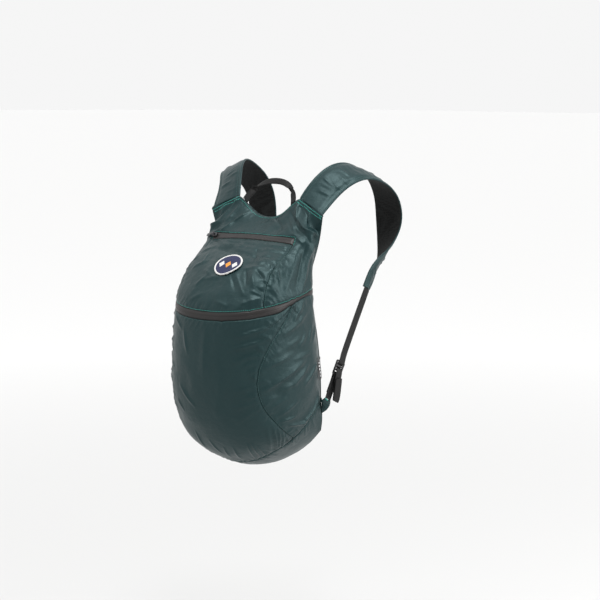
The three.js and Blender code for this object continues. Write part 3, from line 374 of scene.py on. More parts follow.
# Folds that show in the photograph, by the pixels of their two ends, then width and height in mm.
# Heights below zero are creases. Those near the bag's right edge are repeated at its left.
FOLDS = (
    # lower front, beside the right seam
    (239, 337, 267, 328, 4.0, 4.5), (232, 350, 264, 341, 3.2, 4.2), (259, 335, 270, 339, 2.4, 3.1),
    (266, 322, 273, 325, 2.4, 2.8), (273, 320, 279, 323, 2.4, 2.8), (257, 347, 263, 351, 2.4, 2.6),
    (232, 364, 255, 354, 3.2, 2.3), (250, 358, 260, 356, 2.4, 2.3), (244, 367, 256, 362, 2.6, 2.6),
    (246, 375, 257, 370, 2.4, 2.3), (250, 376, 259, 381, 2.4, 2.3), (236, 392, 252, 387, 3.0, 1.8),
    (232, 410, 256, 402, 3.6, 1.9), (238, 422, 257, 409, 3.6, 1.9), (243, 400, 257, 396, 3.0, 1.6),
    (181, 386, 194, 405, 2.6, 2.8), (178, 398, 184, 410, 2.4, 2.1), (176, 312, 181, 327, 3.0, 2.8),
    (184, 330, 187, 352, 4.5, 2.1), (205, 330, 203, 372, 9.0, 2.1), (222, 372, 216, 412, 9.0, 1.8),
    # side panel
    (267, 367, 291, 355, 3.2, 3.5), (296, 359, 309, 353, 3.0, 3.2), (265, 390, 303, 362, 4.6, 5.4),
    (295, 383, 308, 366, 4.0, 3.8), (306, 384, 316, 363, 3.0, 3.5), (271, 342, 284, 330, 3.2, 1.9),
    (285, 334, 307, 314, 3.8, 3.8), (294, 322, 306, 303, 3.4, 4.5), (288, 320, 297, 306, 2.4, 2.6),
    (309, 341, 312, 325, 2.4, 2.9), (313, 340, 315, 326, 2.4, 2.6), (300, 346, 306, 334, 3.0, 2.2),
    (272, 408, 286, 399, 3.0, 1.8), (277, 417, 297, 402, 3.0, 2.1), (268, 401, 279, 396, 3.0, 1.6),
    (282, 421, 295, 417, 2.4, 2.9), (290, 425, 306, 422, 3.0, 4.5), (303, 423, 314, 408, 3.0, 4.2),
    (313, 410, 318, 396, 2.6, 3.2), (262, 381, 269, 383, 2.4, 1.9), (281, 390, 296, 383, 4.0, 2.2),
    (271, 357, 280, 351, 3.0, 1.6), (288, 347, 300, 338, 4.0, 2.2),
    # gathers along the bottom seam
    (274, 430, 276, 451, 2.4, 3.1), (279, 431, 278, 449, 2.4, 2.8), (283, 433, 282, 447, 2.4, 2.5),
    (286, 436, 289, 446, 2.4, 2.2), (291, 435, 293, 444, 2.4, 2.0), (301, 431, 291, 441, 2.4, 2.0),
    (248, 446, 257, 459, 2.6, 2.5), (253, 446, 264, 458, 2.6, 2.5), (259, 448, 270, 456, 2.4, 2.0),
    (234, 449, 242, 459, 2.6, 2.0), (224, 448, 231, 457, 2.6, 1.7), (210, 441, 222, 453, 2.8, 1.7),
    (268, 432, 270, 452, 3.0, 2.0), (196, 432, 207, 448, 2.8, 1.7),
    # pocket front, below its zip and round the badge
    (265, 245, 291, 250, 2.4, 3.2), (267, 241, 293, 246, 2.4, 2.6), (262, 250, 287, 253, 2.4, 2.8),
    (222, 240, 256, 244, 2.6, 2.3), (224, 245, 257, 249, 2.6, 2.6), (216, 242, 236, 247, 2.8, 2.6),
    (216, 248, 237, 251, 3.0, -3.5), (233, 251, 256, 258, 3.2, -3.8), (257, 249, 255, 259, 2.4, -2.2),
    (261, 257, 272, 257, 2.6, -3.2), (240, 269, 263, 267, 2.6, 2.0), (257, 271, 264, 279, 3.0, -3.8),
    (271, 262, 274, 279, 2.6, 2.8), (276, 267, 280, 285, 2.6, 2.5), (278, 260, 282, 268, 2.4, -2.2),
    (231, 275, 235, 289, 2.4, -2.2), (236, 274, 242, 293, 3.2, 2.0), (246, 271, 246, 285, 2.6, -2.2),
    (252, 272, 254, 289, 5.0, 3.0), (193, 268, 208, 260, 2.6, 2.8), (202, 252, 216, 246, 2.6, 2.5),
    (203, 263, 208, 254, 2.4, 2.0), (205, 279, 229, 274, 3.4, 1.8), (205, 270, 213, 277, 2.6, 2.0),
    (243, 303, 263, 298, 3.0, 1.5), (251, 291, 263, 296, 2.6, 2.0), (257, 288, 264, 294, 2.4, -2.0),
    (215, 301, 226, 306, 3.2, 1.6), (266, 259, 269, 265, 2.6, 2.0), (258, 261, 268, 264, 2.6, 1.8),
    (248, 262, 258, 261, 2.6, 1.5), (262, 281, 270, 289, 3.0, -2.0), (268, 284, 279, 297, 4.0, 2.0),
    (222, 262, 214, 258, 2.4, -1.8), (196, 285, 206, 276, 3.0, 2.0), (190, 300, 204, 292, 4.0, 1.5),
    # yoke and its right side
    (297, 251, 284, 297, 9.0, 4.1), (305, 249, 297, 286, 5.5, -4.1), (314, 235, 303, 286, 4.4, 3.9),
    (303, 207, 320, 230, 7.5, -12.0), (309, 214, 320, 228, 6.0, -5.0), (298, 203, 296, 219, 3.0, 4.1),
    (296, 217, 306, 230, 3.2, 4.1), (304, 228, 319, 236, 3.4, 5.5), (301, 204, 307, 221, 2.6, 2.5),
    (290, 212, 298, 229, 4.6, -3.9), (296, 228, 311, 243, 4.6, -3.9), (275, 218, 282, 228, 2.6, -1.8),
    (288, 219, 292, 232, 2.6, -2.1), (249, 212, 231, 223, 2.8, 2.3), (232, 223, 219, 232, 2.8, 2.1),
    (238, 198, 222, 216, 3.4, 2.5), (241, 203, 228, 219, 3.0, 2.1), (292, 233, 303, 244, 3.0, 1.8),
    (287, 256, 279, 280, 4.0, -1.8),
)
MIRROR_BEYOND = 0.085
bpy.context.view_layer.update()
shape = places_of(bag)
outward = normals_of(bag)
lift = np.zeros(len(shape))
for x_start, y_start, x_end, y_end, width, height in FOLDS:
    (start, normal), (end, normal_at_end) = seen_at(x_start, y_start), seen_at(x_end, y_end)
    middle = (normal + normal_at_end) / np.linalg.norm(normal + normal_at_end)
    for side in (1, -1) if min(start[0], end[0]) > MIRROR_BEYOND else (1,):
        flip = np.array((side, 1, 1))
        lift += ridge_height(shape, start * flip, end * flip, middle * flip, width / 1000, height / 1000)

# Puckers: the thread draws each seam a little shorter than the cloth, which rises in short ridges
# square to it. Each kind of seam has its own spacing, length and height in mm.
PUCKERS = {
    ("front_panel", "side_panel_right"): (11, 14, 1.0),
    ("front_panel", "side_panel_left"): (10, 22, 1.5),
    ("bottom_gusset", "front_panel"): (9, 20, 1.2),
    ("bottom_gusset", "side_panel_right"): (9, 18, 1.3),
    ("bottom_gusset", "side_panel_left"): (9, 18, 1.3),
    ("upper_front_panel", "yoke"): (10, 16, 1.3),
    ("main_zip", "upper_front_panel"): (13, 10, 0.7),
    ("front_panel", "main_zip"): (12, 9, 0.6),
    ("main_zip", "yoke"): (10, 18, 1.0),
    ("main_zip", "side_panel_right"): (9, 24, 1.2),
    ("main_zip", "side_panel_left"): (9, 24, 1.2),
    ("pocket_zip", "upper_front_panel"): (12, 12, 0.8),
    ("pocket_zip", "yoke"): (16, 10, 0.5),
}
PUCKER_WIDTH = 0.0026
chance = np.random.default_rng(11)
panel_names = [slot.name for slot in bag.material_slots]


def edges_of(piece):
    """Each edge of a piece, by its two corners, with the faces that meet at it."""
    faces_at = {}
    for face in piece.data.polygons:
        for edge in face.edge_keys:
            faces_at.setdefault(edge, []).append(face)
    return faces_at


seam_edges = {}
open_edges = []
for edge, faces in edges_of(bag).items():
    pair = tuple(sorted({panel_names[face.material_index] for face in faces}))
    if len(faces) == 1:
        open_edges.append((edge, faces))
    elif len(pair) == 2:
        seam_edges.setdefault(pair, []).append((edge, faces))
for pair, (spacing, length, height) in PUCKERS.items():
    taken = []
    edges = seam_edges[pair]
    for number in chance.permutation(len(edges)):
        edge, faces = edges[number]
        start = (shape[edge[0]] + shape[edge[1]]) / 2
        if any(np.linalg.norm(start - other) < spacing / 1000 for other in taken):
            continue
        taken.append(start)
        run = shape[edge[1]] - shape[edge[0]]
        for face in faces:
            if "zip" in panel_names[face.material_index]:
                continue
            normal = np.array(face.normal)
            away_from_seam = np.cross(normal, run)
            away_from_seam *= np.sign(away_from_seam @ (np.array(face.center) - start))
            away_from_seam /= np.linalg.norm(away_from_seam)
            lean = chance.uniform(-0.5, 0.5) * run / np.linalg.norm(run)
            end = start + (away_from_seam + lean) * length / 1000 * chance.uniform(0.5, 1.5)
            lift += ridge_height(shape, start, end, normal, PUCKER_WIDTH * chance.uniform(0.8, 1.5),
                                 height / 1000 * chance.uniform(0.3, 1.2))

# Loose cloth ripples a little everywhere, most on the pocket front and the yoke.
RIPPLE = {"yoke": 0.9, "upper_front_panel": 1.0, "front_panel": 0.3, "side_panel_left": 0.6,
          "side_panel_right": 0.6, "bottom_gusset": 0.25, "main_zip": 0.25, "pocket_zip": 0.35}
SWELLS = ((0.045, 0.0024), (0.018, 0.0008), (0.009, 0.0003))
ripple = np.zeros(len(shape))
for face in bag.data.polygons:
    ripple[list(face.vertices)] = RIPPLE[panel_names[face.material_index]]


def rippled(rows, share):
    """Swells and soft crests of three sizes."""
    lift = np.zeros(len(rows))
    for size, height in SWELLS:
        swell = np.array([noise.noise(Vector(place) / size) for place in rows])
        lift += height * (0.5 * swell + 0.2 - np.abs(swell))
    return lift * share


def tree_of(places):
    tree = KDTree(len(places))
    for k, place in enumerate(places):
        tree.insert(place, k)
    tree.balance()
    return tree


def distance_to(rows, near):
    """From each point to the nearest of some others."""
    tree = tree_of(near)
    return np.array([tree.find(place)[2] for place in rows])


def tag(piece, name, values):
    """Keeps a number for each point of a mesh, for its material to read."""
    piece.data.attributes.new(name, "FLOAT", "POINT").data.foreach_set("value", values)


# The cloth is drawn down along its seams, held flat at its open edges and under the badge, and its
# neck is turned over in a narrow hem. No fold goes deeper than the room that the bag has there.
SEAM_HOLD = 0.8
SEAM_HOLD_WIDTH = 0.004
VALLEY_DEPTH = 0.0011
VALLEY_WIDTH = 0.0032
EDGE_WIDTH = 0.005
BADGE_FLAT = 0.028
BADGE_FADE = 0.005
NECK_HALF = 0.075
NECK_BOTTOM = -0.12
NECK_HEM = 0.0045
HEM_RISE = 0.0008
ROOM_SHARE = 0.55
ROOM_KEPT = 0.002
badge_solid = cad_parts["round_badge"]
badge_middle = np.array(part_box("round_badge")).mean(axis=0)
seam_points = sorted({corner for edges in seam_edges.values() for edge, _ in edges for corner in edge})
open_points = sorted({corner for edge, _ in open_edges for corner in edge})
neck_points = [k for k in open_points if abs(shape[k][0]) < NECK_HALF and shape[k][2] > NECK_BOTTOM]
to_seam = distance_to(shape, shape[seam_points])
to_edge = distance_to(shape, shape[open_points])
to_neck = distance_to(shape, shape[neck_points])
to_badge = np.linalg.norm(shape - badge_middle, axis=1)
lift += rippled(shape, ripple)
lift *= 1 - SEAM_HOLD * np.exp(-(to_seam / SEAM_HOLD_WIDTH) ** 2)
lift *= 1 - np.exp(-(to_edge / EDGE_WIDTH) ** 2)
lift *= np.clip((to_badge - BADGE_FLAT) / BADGE_FADE, 0, 1)
lift -= VALLEY_DEPTH * np.exp(-(to_seam / VALLEY_WIDTH) ** 2)
lift += HEM_RISE * np.exp(-((to_neck - NECK_HEM / 2) / 0.002) ** 2)
back_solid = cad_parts["back_panel"]
room = np.array([(back_solid.closest_point_on_mesh(Vector(place))[1] - Vector(place)).length
                 for place in shape])
lift = np.maximum(lift, -ROOM_SHARE * np.maximum(room - ROOM_KEPT, 0))
shape = shape + outward * lift[:, None]

# Towards its ends the main zip runs under the side panels, which leave a narrowing strip of it.
ZIP_NARROWS = (0.121, 0.134)
ZIP_PULL = 0.0115
ZIP_EASE = 0.014
ZIP_REACH = 0.034
zip_top = [corner for pair in (("main_zip", "yoke"), ("main_zip", "upper_front_panel"))
           for edge, _ in seam_edges[pair] for corner in edge]
top_tree = tree_of([shape[corner] for corner in zip_top])
for k, place in enumerate(shape):
    narrowing = np.clip((abs(place[0]) - ZIP_NARROWS[0]) / (ZIP_NARROWS[1] - ZIP_NARROWS[0]), 0, 1)
    upper, _, gap = top_tree.find(place)
    if narrowing > 0 and place[2] < upper.z and gap < ZIP_REACH + ZIP_EASE:
        share = min(gap / ZIP_EASE, 1) * (1 - max(gap - ZIP_EASE, 0) / ZIP_REACH)
        pull = share * ZIP_PULL * narrowing ** 1.3
        shape[k] = place + np.array((upper - Vector(place)).normalized()) * pull
put_places(bag, shape)
bag.data.shade_smooth()
tag(bag, "from_seam", to_seam)


# Stitching
# Twisted polyester thread, teal where it is meant to show: along both zips, down the seams, and in
# two rows across the foot of each strap. Each stitch is a small spindle that lies on the cloth.
STITCH_PITCH = 0.0036
STITCH_SIZE = (0.0030, 0.0010, 0.0007)
STITCH_SINK = 0.15
STRAP_STITCH_SIZE = (0.0031, 0.0015, 0.0010)
STRAP_SEAM_GAP = 0.0028
TEAL_THREAD = ((0.03, 0.24, 0.20), (0.05, 0.38, 0.32))
SLATE_THREAD = ((0.016, 0.06, 0.056), (0.035, 0.10, 0.095))
# Rows of stitches: the two panels of a seam, the panel that the row lies on, how far in, and if teal.
SEAM_ROWS = (
    (("main_zip", "upper_front_panel"), "upper_front_panel", 0.0016, True),
    (("main_zip", "yoke"), "yoke", 0.0016, True),
    (("front_panel", "main_zip"), "front_panel", 0.0018, False),
    (("pocket_zip", "yoke"), "yoke", 0.0016, True),
    (("pocket_zip", "upper_front_panel"), "upper_front_panel", 0.0016, False),
    (("front_panel", "side_panel_right"), "side_panel_right", 0.0020, False),
    (("front_panel", "side_panel_left"), "side_panel_left", 0.0020, False),
    (("bottom_gusset", "front_panel"), "bottom_gusset", 0.0022, False),
    (("bottom_gusset", "side_panel_right"), "bottom_gusset", 0.0022, False),
    (("bottom_gusset", "side_panel_left"), "bottom_gusset", 0.0022, False),
    (("upper_front_panel", "yoke"), "yoke", 0.0020, False),
)
# Rows at the foot of a strap and at the neck: how far in, then the pitch.
STRAP_ROWS = ((0.0016, 0.0032), (0.0070, 0.0034))
NECK_ROW = 0.0050


def seam_run(cloth, edges, panel=None):
    """The middles of a seam's edges in order, each with the direction into one panel's cloth."""
    ends_at = {}
    for number, (edge, _) in enumerate(edges):
        for corner in edge:
            ends_at.setdefault(corner, []).append(number)
    runs = []
    left = set(range(len(edges)))
    while left:
        loose = [n for n in left if any(len(ends_at[corner]) == 1 for corner in edges[n][0])]
        number = min(loose or left)
        corner = next((c for c in edges[number][0] if len(ends_at[c]) == 1), edges[number][0][0])
        run = []
        while number is not None:
            left.discard(number)
            run.append(number)
            edge = edges[number][0]
            corner = edge[0] if edge[1] == corner else edge[1]
            number = next((n for n in ends_at[corner] if n in left), None)
        runs.append(run)
    now = places_of(cloth)
    middles, inward = [], []
    for number in max(runs, key=len):
        edge, faces = edges[number]
        face = next((f for f in faces if panel_names[f.material_index] == panel), faces[0])
        middle = (now[edge[0]] + now[edge[1]]) / 2
        middles.append(middle)
        side = np.array(face.center) - middle
        along = now[edge[1]] - now[edge[0]]
        along /= np.linalg.norm(along)
        side -= along * (side @ along)
        inward.append(side / np.linalg.norm(side))
    return np.array(middles), np.array(inward)


def stitch_places(cloth, middles, inward, inset, pitch=STITCH_PITCH):
    """A place, a direction and a normal on the cloth for each stitch of a row beside a seam."""
    line = middles + inward * inset
    steps = np.linalg.norm(np.diff(line, axis=0), axis=1)
    reach = np.concatenate(([0], np.cumsum(steps)))
    marks = np.arange(pitch / 2, reach[-1], pitch)
    points = np.stack([np.interp(marks, reach, line[:, k]) for k in range(3)], axis=1)
    ahead = np.stack([np.interp(marks + 0.001, reach, line[:, k]) for k in range(3)], axis=1)
    found = []
    for point, after in zip(points, ahead):
        _, place, normal, _ = cloth.closest_point_on_mesh(Vector(point))
        if np.linalg.norm(after - point) > 1e-5:
            found.append((place, Vector(after - point).normalized(), normal))
    return found


def sew(name, found, thread, size=STITCH_SIZE):
    """One small spindle of thread for each place, all in one piece."""
    bpy.ops.object.select_all(action="DESELECT")
    bpy.ops.mesh.primitive_ico_sphere_add(subdivisions=1, radius=0.5)
    spindle = bpy.context.object
    spindle.scale = size
    bpy.ops.object.transform_apply(scale=True)
    bpy.ops.object.shade_smooth()
    spindle.select_set(False)
    pieces = []
    for place, direction, normal in found:
        across = normal.cross(direction).normalized()
        along = across.cross(normal)
        turn = Matrix((along, across, normal)).transposed().to_4x4()
        stitch = bpy.data.objects.new("stitch", spindle.data.copy())
        stitch.data.transform(Matrix.Translation(place + normal * size[2] * STITCH_SINK) @ turn)
        bpy.context.scene.collection.objects.link(stitch)
        stitch.select_set(True)
        pieces.append(stitch)
    bpy.context.view_layer.objects.active = pieces[0]
    bpy.ops.object.join()
    row = bpy.context.object
    row.name = name
    row.data.materials.append(thread.material)
    bpy.data.objects.remove(spindle)
    return row


teal_thread = Finish("teal_thread", roughness=0.55)
slate_thread = Finish("slate_thread", roughness=0.55)
for thread, (low, high) in ((teal_thread, TEAL_THREAD), (slate_thread, SLATE_THREAD)):
    thread.paint(thread.between(low, high, thread.cloud(0.0006, 1)))

strap_solids = [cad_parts["strap_right"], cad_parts["strap_left"]]
strap_seams = {1: [], -1: []}
neck_edge = []
for edge, faces in open_edges:
    middle = Vector((shape[edge[0]] + shape[edge[1]]) / 2)
    gaps = [(solid.closest_point_on_mesh(middle)[1] - middle).length for solid in strap_solids]
    if min(gaps) < STRAP_SEAM_GAP and middle.z > NECK_BOTTOM:
        strap_seams[1 if middle.x > 0 else -1].append((edge, faces))
    elif abs(middle.x) < NECK_HALF and middle.z > NECK_BOTTOM:
        neck_edge.append((edge, faces))
strap_rows, slate_rows = [], []
for side in (1, -1):
    for inset, pitch in STRAP_ROWS:
        strap_rows += stitch_places(bag, *seam_run(bag, strap_seams[side]), inset, pitch)
teal_rows = stitch_places(bag, *seam_run(bag, neck_edge), NECK_ROW)
for pair, panel, inset, teal in SEAM_ROWS:
    found = stitch_places(bag, *seam_run(bag, seam_edges[pair], panel), inset)
    (teal_rows if teal else slate_rows).extend(found)
for name, found, thread, size in (("strap_seam_stitches", strap_rows, teal_thread, STRAP_STITCH_SIZE),
                                  ("teal_stitches", teal_rows, teal_thread, STITCH_SIZE),
                                  ("slate_stitches", slate_rows, slate_thread, STITCH_SIZE)):
    row = sew(name, found, thread, size)
    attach(row, "pack")


# Parted bag
# Cut apart along its seams, each panel gets the thickness of its cloth and the finish of thin coated
# nylon, with a satin face and a fine crinkle from being packed away.
CLOTH_WALL = 0.0008
NYLON_DARK = (0.0064, 0.0185, 0.020)
NYLON_LIGHT = (0.0096, 0.025, 0.0265)
NYLON_GLOSS = (0.6, 0.86, 0.88, 1)
CRINKLE_SIZE = 0.013
GRAIN_SIZE = 0.0012
NYLON_RELIEF = 0.0020
GATHER_PITCH = 0.013
GATHER_LEAN = 0.45
TAPE_EDGE = (0.011, 0.0105, 0.0105)
TAPE_FILM = (0.020, 0.018, 0.0175)
TAPE_LIP = 0.0022
TAPE_GROOVE = 0.0068
TUCK_LENGTH = 0.005
TUCK_DROP = 0.0012
TUCK_NARROWS = 0.09

# Finer gathers than the mesh can carry are left to the nylon's relief, which reads how far from the
# nearest seam each point lies, and how far along it.
seam_lines = [seam_run(bag, edges) for pair, edges in seam_edges.items()
              if pair != ("upper_front_panel", "yoke") and "pocket_zip" not in pair]
line_points, line_runs = [], []
for number, (middles, _) in enumerate(seam_lines):
    steps = np.linalg.norm(np.diff(middles, axis=0), axis=1)
    line_points.append(middles)
    line_runs.append(np.concatenate(([0], np.cumsum(steps))) + number)
line_points, line_runs = np.concatenate(line_points), np.concatenate(line_runs)
line_tree = tree_of(line_points)
nearest = [line_tree.find(place) for place in places_of(bag)]
gather_gap = np.array([gap for _, _, gap in nearest])
tag(bag, "gather_gap", gather_gap)
tag(bag, "gather_run", np.array([line_runs[k] for _, k, _ in nearest]) + GATHER_LEAN * gather_gap)

nylon = Finish("slate_nylon", ior=1.33, specular_ior_level=0.8, specular_tint=NYLON_GLOSS)
nylon.paint(nylon.between(NYLON_DARK, NYLON_LIGHT, nylon.cloud(0.06, 3)))
nylon.feed("Roughness", nylon.cloud(0.02, 2) * 0.10 + 0.36)
crinkle = nylon.cloud(CRINKLE_SIZE, 4, stretch=(1, 1, 1.7), turn=(0.3, 0.5, 0))
grain = nylon.cloud(GRAIN_SIZE, 2)
seam_gap = nylon.read("gather_gap")
gather_spot = nylon.node("ShaderNodeCombineXYZ", X=nylon.read("gather_run"), Y=seam_gap * 0.16)
gathers = nylon.node("ShaderNodeTexNoise", Vector=gather_spot, Scale=1 / GATHER_PITCH,
                     Detail=1.0, Roughness=0.4)
gathers = (1 - (gathers - 0.5).math("ABSOLUTE") * 3.2) * (1 - seam_gap.above(0.014, 0.028))
nylon.relief(crinkle * 0.34 + grain * 0.06 + gathers * 0.60, NYLON_RELIEF)

# The zip tape has a matt film over both halves, which meet in a groove along the middle.
tape = Finish("coated_tape", roughness=0.42, specular_ior_level=0.32)
from_edge = tape.read("from_seam")
lips = from_edge.above(TAPE_LIP, 0.0006)
groove = 1 - from_edge.above(TAPE_GROOVE, 0.0005)
# The tape is painted darker in its low edges along the seams and in the middle groove, a painted shade of
# these low places, with random tone over all of it.
tape_shade_and_tone = lips * (groove * 0.6 + 0.4) * (tape.cloud(0.01, 2) * 0.3 + 0.7)
tape.paint(tape.between(TAPE_EDGE, TAPE_FILM, tape_shade_and_tone))
tape.relief(lips * 0.5 + groove * 0.4 + tape.cloud(0.0008, 1) * 0.1, 0.0006)

# The yoke's edge is tucked into the foot of each strap.
tuck_lines = [seam_run(bag, strap_seams[side]) for side in (1, -1)]
tuck_from = np.concatenate([middles for middles, _ in tuck_lines])
tuck_centre = np.concatenate([np.ones((len(middles), 1)) * middles.mean(axis=0) for middles, _ in tuck_lines])
tuck_inward = np.concatenate([inward for _, inward in tuck_lines])
tuck_level = np.array([bag.closest_point_on_mesh(Vector(middle))[2] for middle in tuck_from])
select_only(bag)
bpy.ops.object.mode_set(mode="EDIT")
bpy.ops.mesh.select_mode(type="EDGE")
bpy.ops.mesh.select_all(action="DESELECT")
bpy.ops.object.mode_set(mode="OBJECT")
tucked = {edge for side in (1, -1) for edge, _ in strap_seams[side]}
for edge in bag.data.edges:
    edge.select = edge.key in tucked
bpy.ops.object.mode_set(mode="EDIT")
bpy.ops.mesh.extrude_edges_move()
bpy.ops.object.mode_set(mode="OBJECT")
for corner in bag.data.vertices:
    if corner.select:
        nearest = np.argmin(np.linalg.norm(tuck_from - np.array(corner.co), axis=1))
        corner.co += Vector((tuck_centre[nearest] - tuck_from[nearest]) * TUCK_NARROWS
                            - tuck_inward[nearest] * TUCK_LENGTH - tuck_level[nearest] * TUCK_DROP)
bpy.ops.object.mode_set(mode="EDIT")
bpy.ops.mesh.select_all(action="SELECT")
bpy.ops.mesh.separate(type="MATERIAL")
bpy.ops.object.mode_set(mode="OBJECT")


def thicken(piece, wall):
    """Gives a sheet its thickness, inwards."""
    thickness = piece.modifiers.new("wall", "SOLIDIFY")
    thickness.thickness = wall
    thickness.offset = -1
    select_only(piece)
    bpy.ops.object.modifier_apply(modifier="wall")


for piece in list(bpy.context.selected_objects):
    panel = piece.data.materials[0].name
    piece.name = panel + "_cloth"
    thicken(piece, CLOTH_WALL)
    piece.data.materials.clear()
    piece.data.materials.append((tape if "zip" in panel else nylon).material)
    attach(piece, "pack")
    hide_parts(panel)


# Back panel
# One plain panel of the same nylon lies against the wearer and closes the bag, creased lightly across
# by the back that it rests on.
BACK_CREASES = 44
BACK_RIPPLE = 0.8
BACK_EDGE = 0.012
BACK_ROW = 0.0030
back = copy_of("back_panel", "back_panel_cloth")
keep_sheet(back, widest_facing(back, (0, 1, 0)))
subdivide(back, 3)
shape = places_of(back)
outward = normals_of(back)
middle = np.array(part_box("back_panel")).mean(axis=0)
lift = rippled(shape, BACK_RIPPLE)
for _ in range(BACK_CREASES):
    start = middle + np.array((chance.uniform(-0.12, 0.08), 0.008, chance.uniform(-0.25, 0.22)))
    end = start + np.array((chance.uniform(0.02, 0.08), 0, chance.uniform(-0.025, 0.025)))
    lift += ridge_height(shape, start, end, np.array((0.0, 1.0, 0.0)), chance.uniform(0.0025, 0.005),
                         chance.uniform(-3.0, 3.6) / 1000)
back_rim = [(edge, faces) for edge, faces in edges_of(back).items() if len(faces) == 1]
rim_points = sorted({corner for edge, _ in back_rim for corner in edge})
to_rim = distance_to(shape, shape[rim_points])
lift *= 1 - np.exp(-(to_rim / BACK_EDGE) ** 2)
put_places(back, shape + outward * lift[:, None])
back.data.shade_smooth()
rim_middles, rim_inward = seam_run(back, back_rim)
rim_reach = np.concatenate(([0], np.cumsum(np.linalg.norm(np.diff(rim_middles, axis=0), axis=1))))
rim_run = [rim_reach[np.argmin(np.linalg.norm(rim_middles - place, axis=1))] for place in shape]
tag(back, "gather_gap", to_rim)
tag(back, "gather_run", np.array(rim_run) + GATHER_LEAN * to_rim)
rim_row = sew("back_stitches", stitch_places(back, rim_middles, rim_inward, BACK_ROW), slate_thread)
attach(rim_row, "pack")
thicken(back, CLOTH_WALL)
back.data.materials.append(nylon.material)
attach(back, "pack")
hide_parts("back_panel")


# Shoulder straps
# Each strap is a band of the nylon over thin spacer mesh, hemmed along both sides and stitched
# through beside the hem. The cloth is a little longer than the mesh, so it creases across the band.
STRAP_HEM = 0.0052
STRAP_STITCH = 0.0090
STRAP_HEM_ROW = 0.0030
STRAP_WALL = 0.0026
STRAP_CREASES = 95
STRAP_CREASE_WIDTH = 0.0021
STRAP_LOFT = 0.0009
# Grooves along both sides, by their distance from the edge, depth and width.
STRAP_GROOVES = ((STRAP_STITCH, 0.0006, 0.0018), (STRAP_HEM, 0.0010, 0.0016), (0, 0.0010, 0.0014))


def side_runs(piece):
    """The two long open edges of a band, each as its points in order."""
    faces_round = {}
    for face in piece.data.polygons:
        for corner in face.vertices:
            faces_round[corner] = faces_round.get(corner, 0) + 1
    beside = {}
    for edge, faces in edges_of(piece).items():
        if len(faces) == 1:
            for one, other in (edge, edge[::-1]):
                beside.setdefault(one, []).append(other)
    corners = [k for k in beside if faces_round[k] == 1]
    runs = []
    for corner in corners:
        for step in beside[corner]:
            run = [corner, step]
            while run[-1] not in corners:
                run.append(next(k for k in beside[run[-1]] if k != run[-2]))
            if run[0] < run[-1]:
                runs.append(run)
    return sorted(runs, key=len)[-2:]


for side in ("right", "left"):
    strap = copy_of("strap_" + side, "strap_cloth_" + side)
    keep_sheet(strap, max(strap.data.polygons, key=lambda face: face.center.z + 0.01 * face.normal.z))
    subdivide(strap, 3)
    shape = places_of(strap)
    outward = normals_of(strap)
    runs = [shape[run] for run in side_runs(strap)]
    to_side = distance_to(shape, np.concatenate(runs))
    lift = rippled(shape * 1.4, 0.35)
    for _ in range(STRAP_CREASES):
        run, other = runs if chance.random() < 0.6 else runs[::-1]
        k = chance.integers(6, len(run) - 12)
        start = run[k]
        across = other[np.argmin(np.linalg.norm(other - start, axis=1))] - start
        start = start + across * chance.uniform(0.12, 0.45)
        end = start + across * chance.uniform(0.18, 0.5) + (run[k + 3] - run[k]) * chance.uniform(-0.8, 0.8)
        normal = outward[np.argmin(np.linalg.norm(shape - start, axis=1))]
        lift += ridge_height(shape, start, end, normal, STRAP_CREASE_WIDTH * chance.uniform(0.8, 1.4),
                             chance.uniform(-0.7, 1.8) / 1000)
    lift *= np.clip((to_side - STRAP_HEM) / 0.005, 0, 1)
    lift += STRAP_LOFT * np.clip((to_side - STRAP_STITCH) / 0.006, 0, 1)
    for inset, depth, width in STRAP_GROOVES:
        lift -= depth * np.exp(-((to_side - inset) / width) ** 2)
    put_places(strap, shape + outward * lift[:, None])
    strap.data.shade_smooth()
    rows = []
    for run, other in (runs, runs[::-1]):
        inward = np.array([other[np.argmin(np.linalg.norm(other - place, axis=1))] - place for place in run])
        inward /= np.linalg.norm(inward, axis=1)[:, None]
        rows += stitch_places(strap, run, inward, STRAP_STITCH)
        rows += stitch_places(strap, run, inward, STRAP_HEM_ROW)
    row = sew("strap_stitches_" + side, rows, slate_thread)
    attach(row, "pack")
    thicken(strap, STRAP_WALL)
    strap.data.materials.append(nylon.material)
    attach(strap, "pack")
    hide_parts("strap_" + side)


# Strap linings
# The side of each strap that lies on the shirt is black spacer mesh, an open knit of small round holes.
def soften(piece, crease, levels):
    """Rounds a closed solid, with its sharp edges held as firmly as the crease says."""
    select_only(piece)
    bpy.ops.object.mode_set(mode="EDIT")
    bpy.ops.mesh.select_all(action="SELECT")
    bpy.ops.mesh.tris_convert_to_quads(face_threshold=math.radians(40), shape_threshold=math.pi)
    bpy.ops.mesh.select_mode(type="EDGE")
    bpy.ops.mesh.select_all(action="DESELECT")
    bpy.ops.mesh.edges_select_sharp(sharpness=math.radians(50))
    bpy.ops.object.mode_set(mode="OBJECT")
    held = piece.data.attributes.new("crease_edge", "FLOAT", "EDGE")
    held.data.foreach_set("value", [crease * edge.select for edge in piece.data.edges])
    subdivide(piece, levels)
    piece.data.shade_smooth()


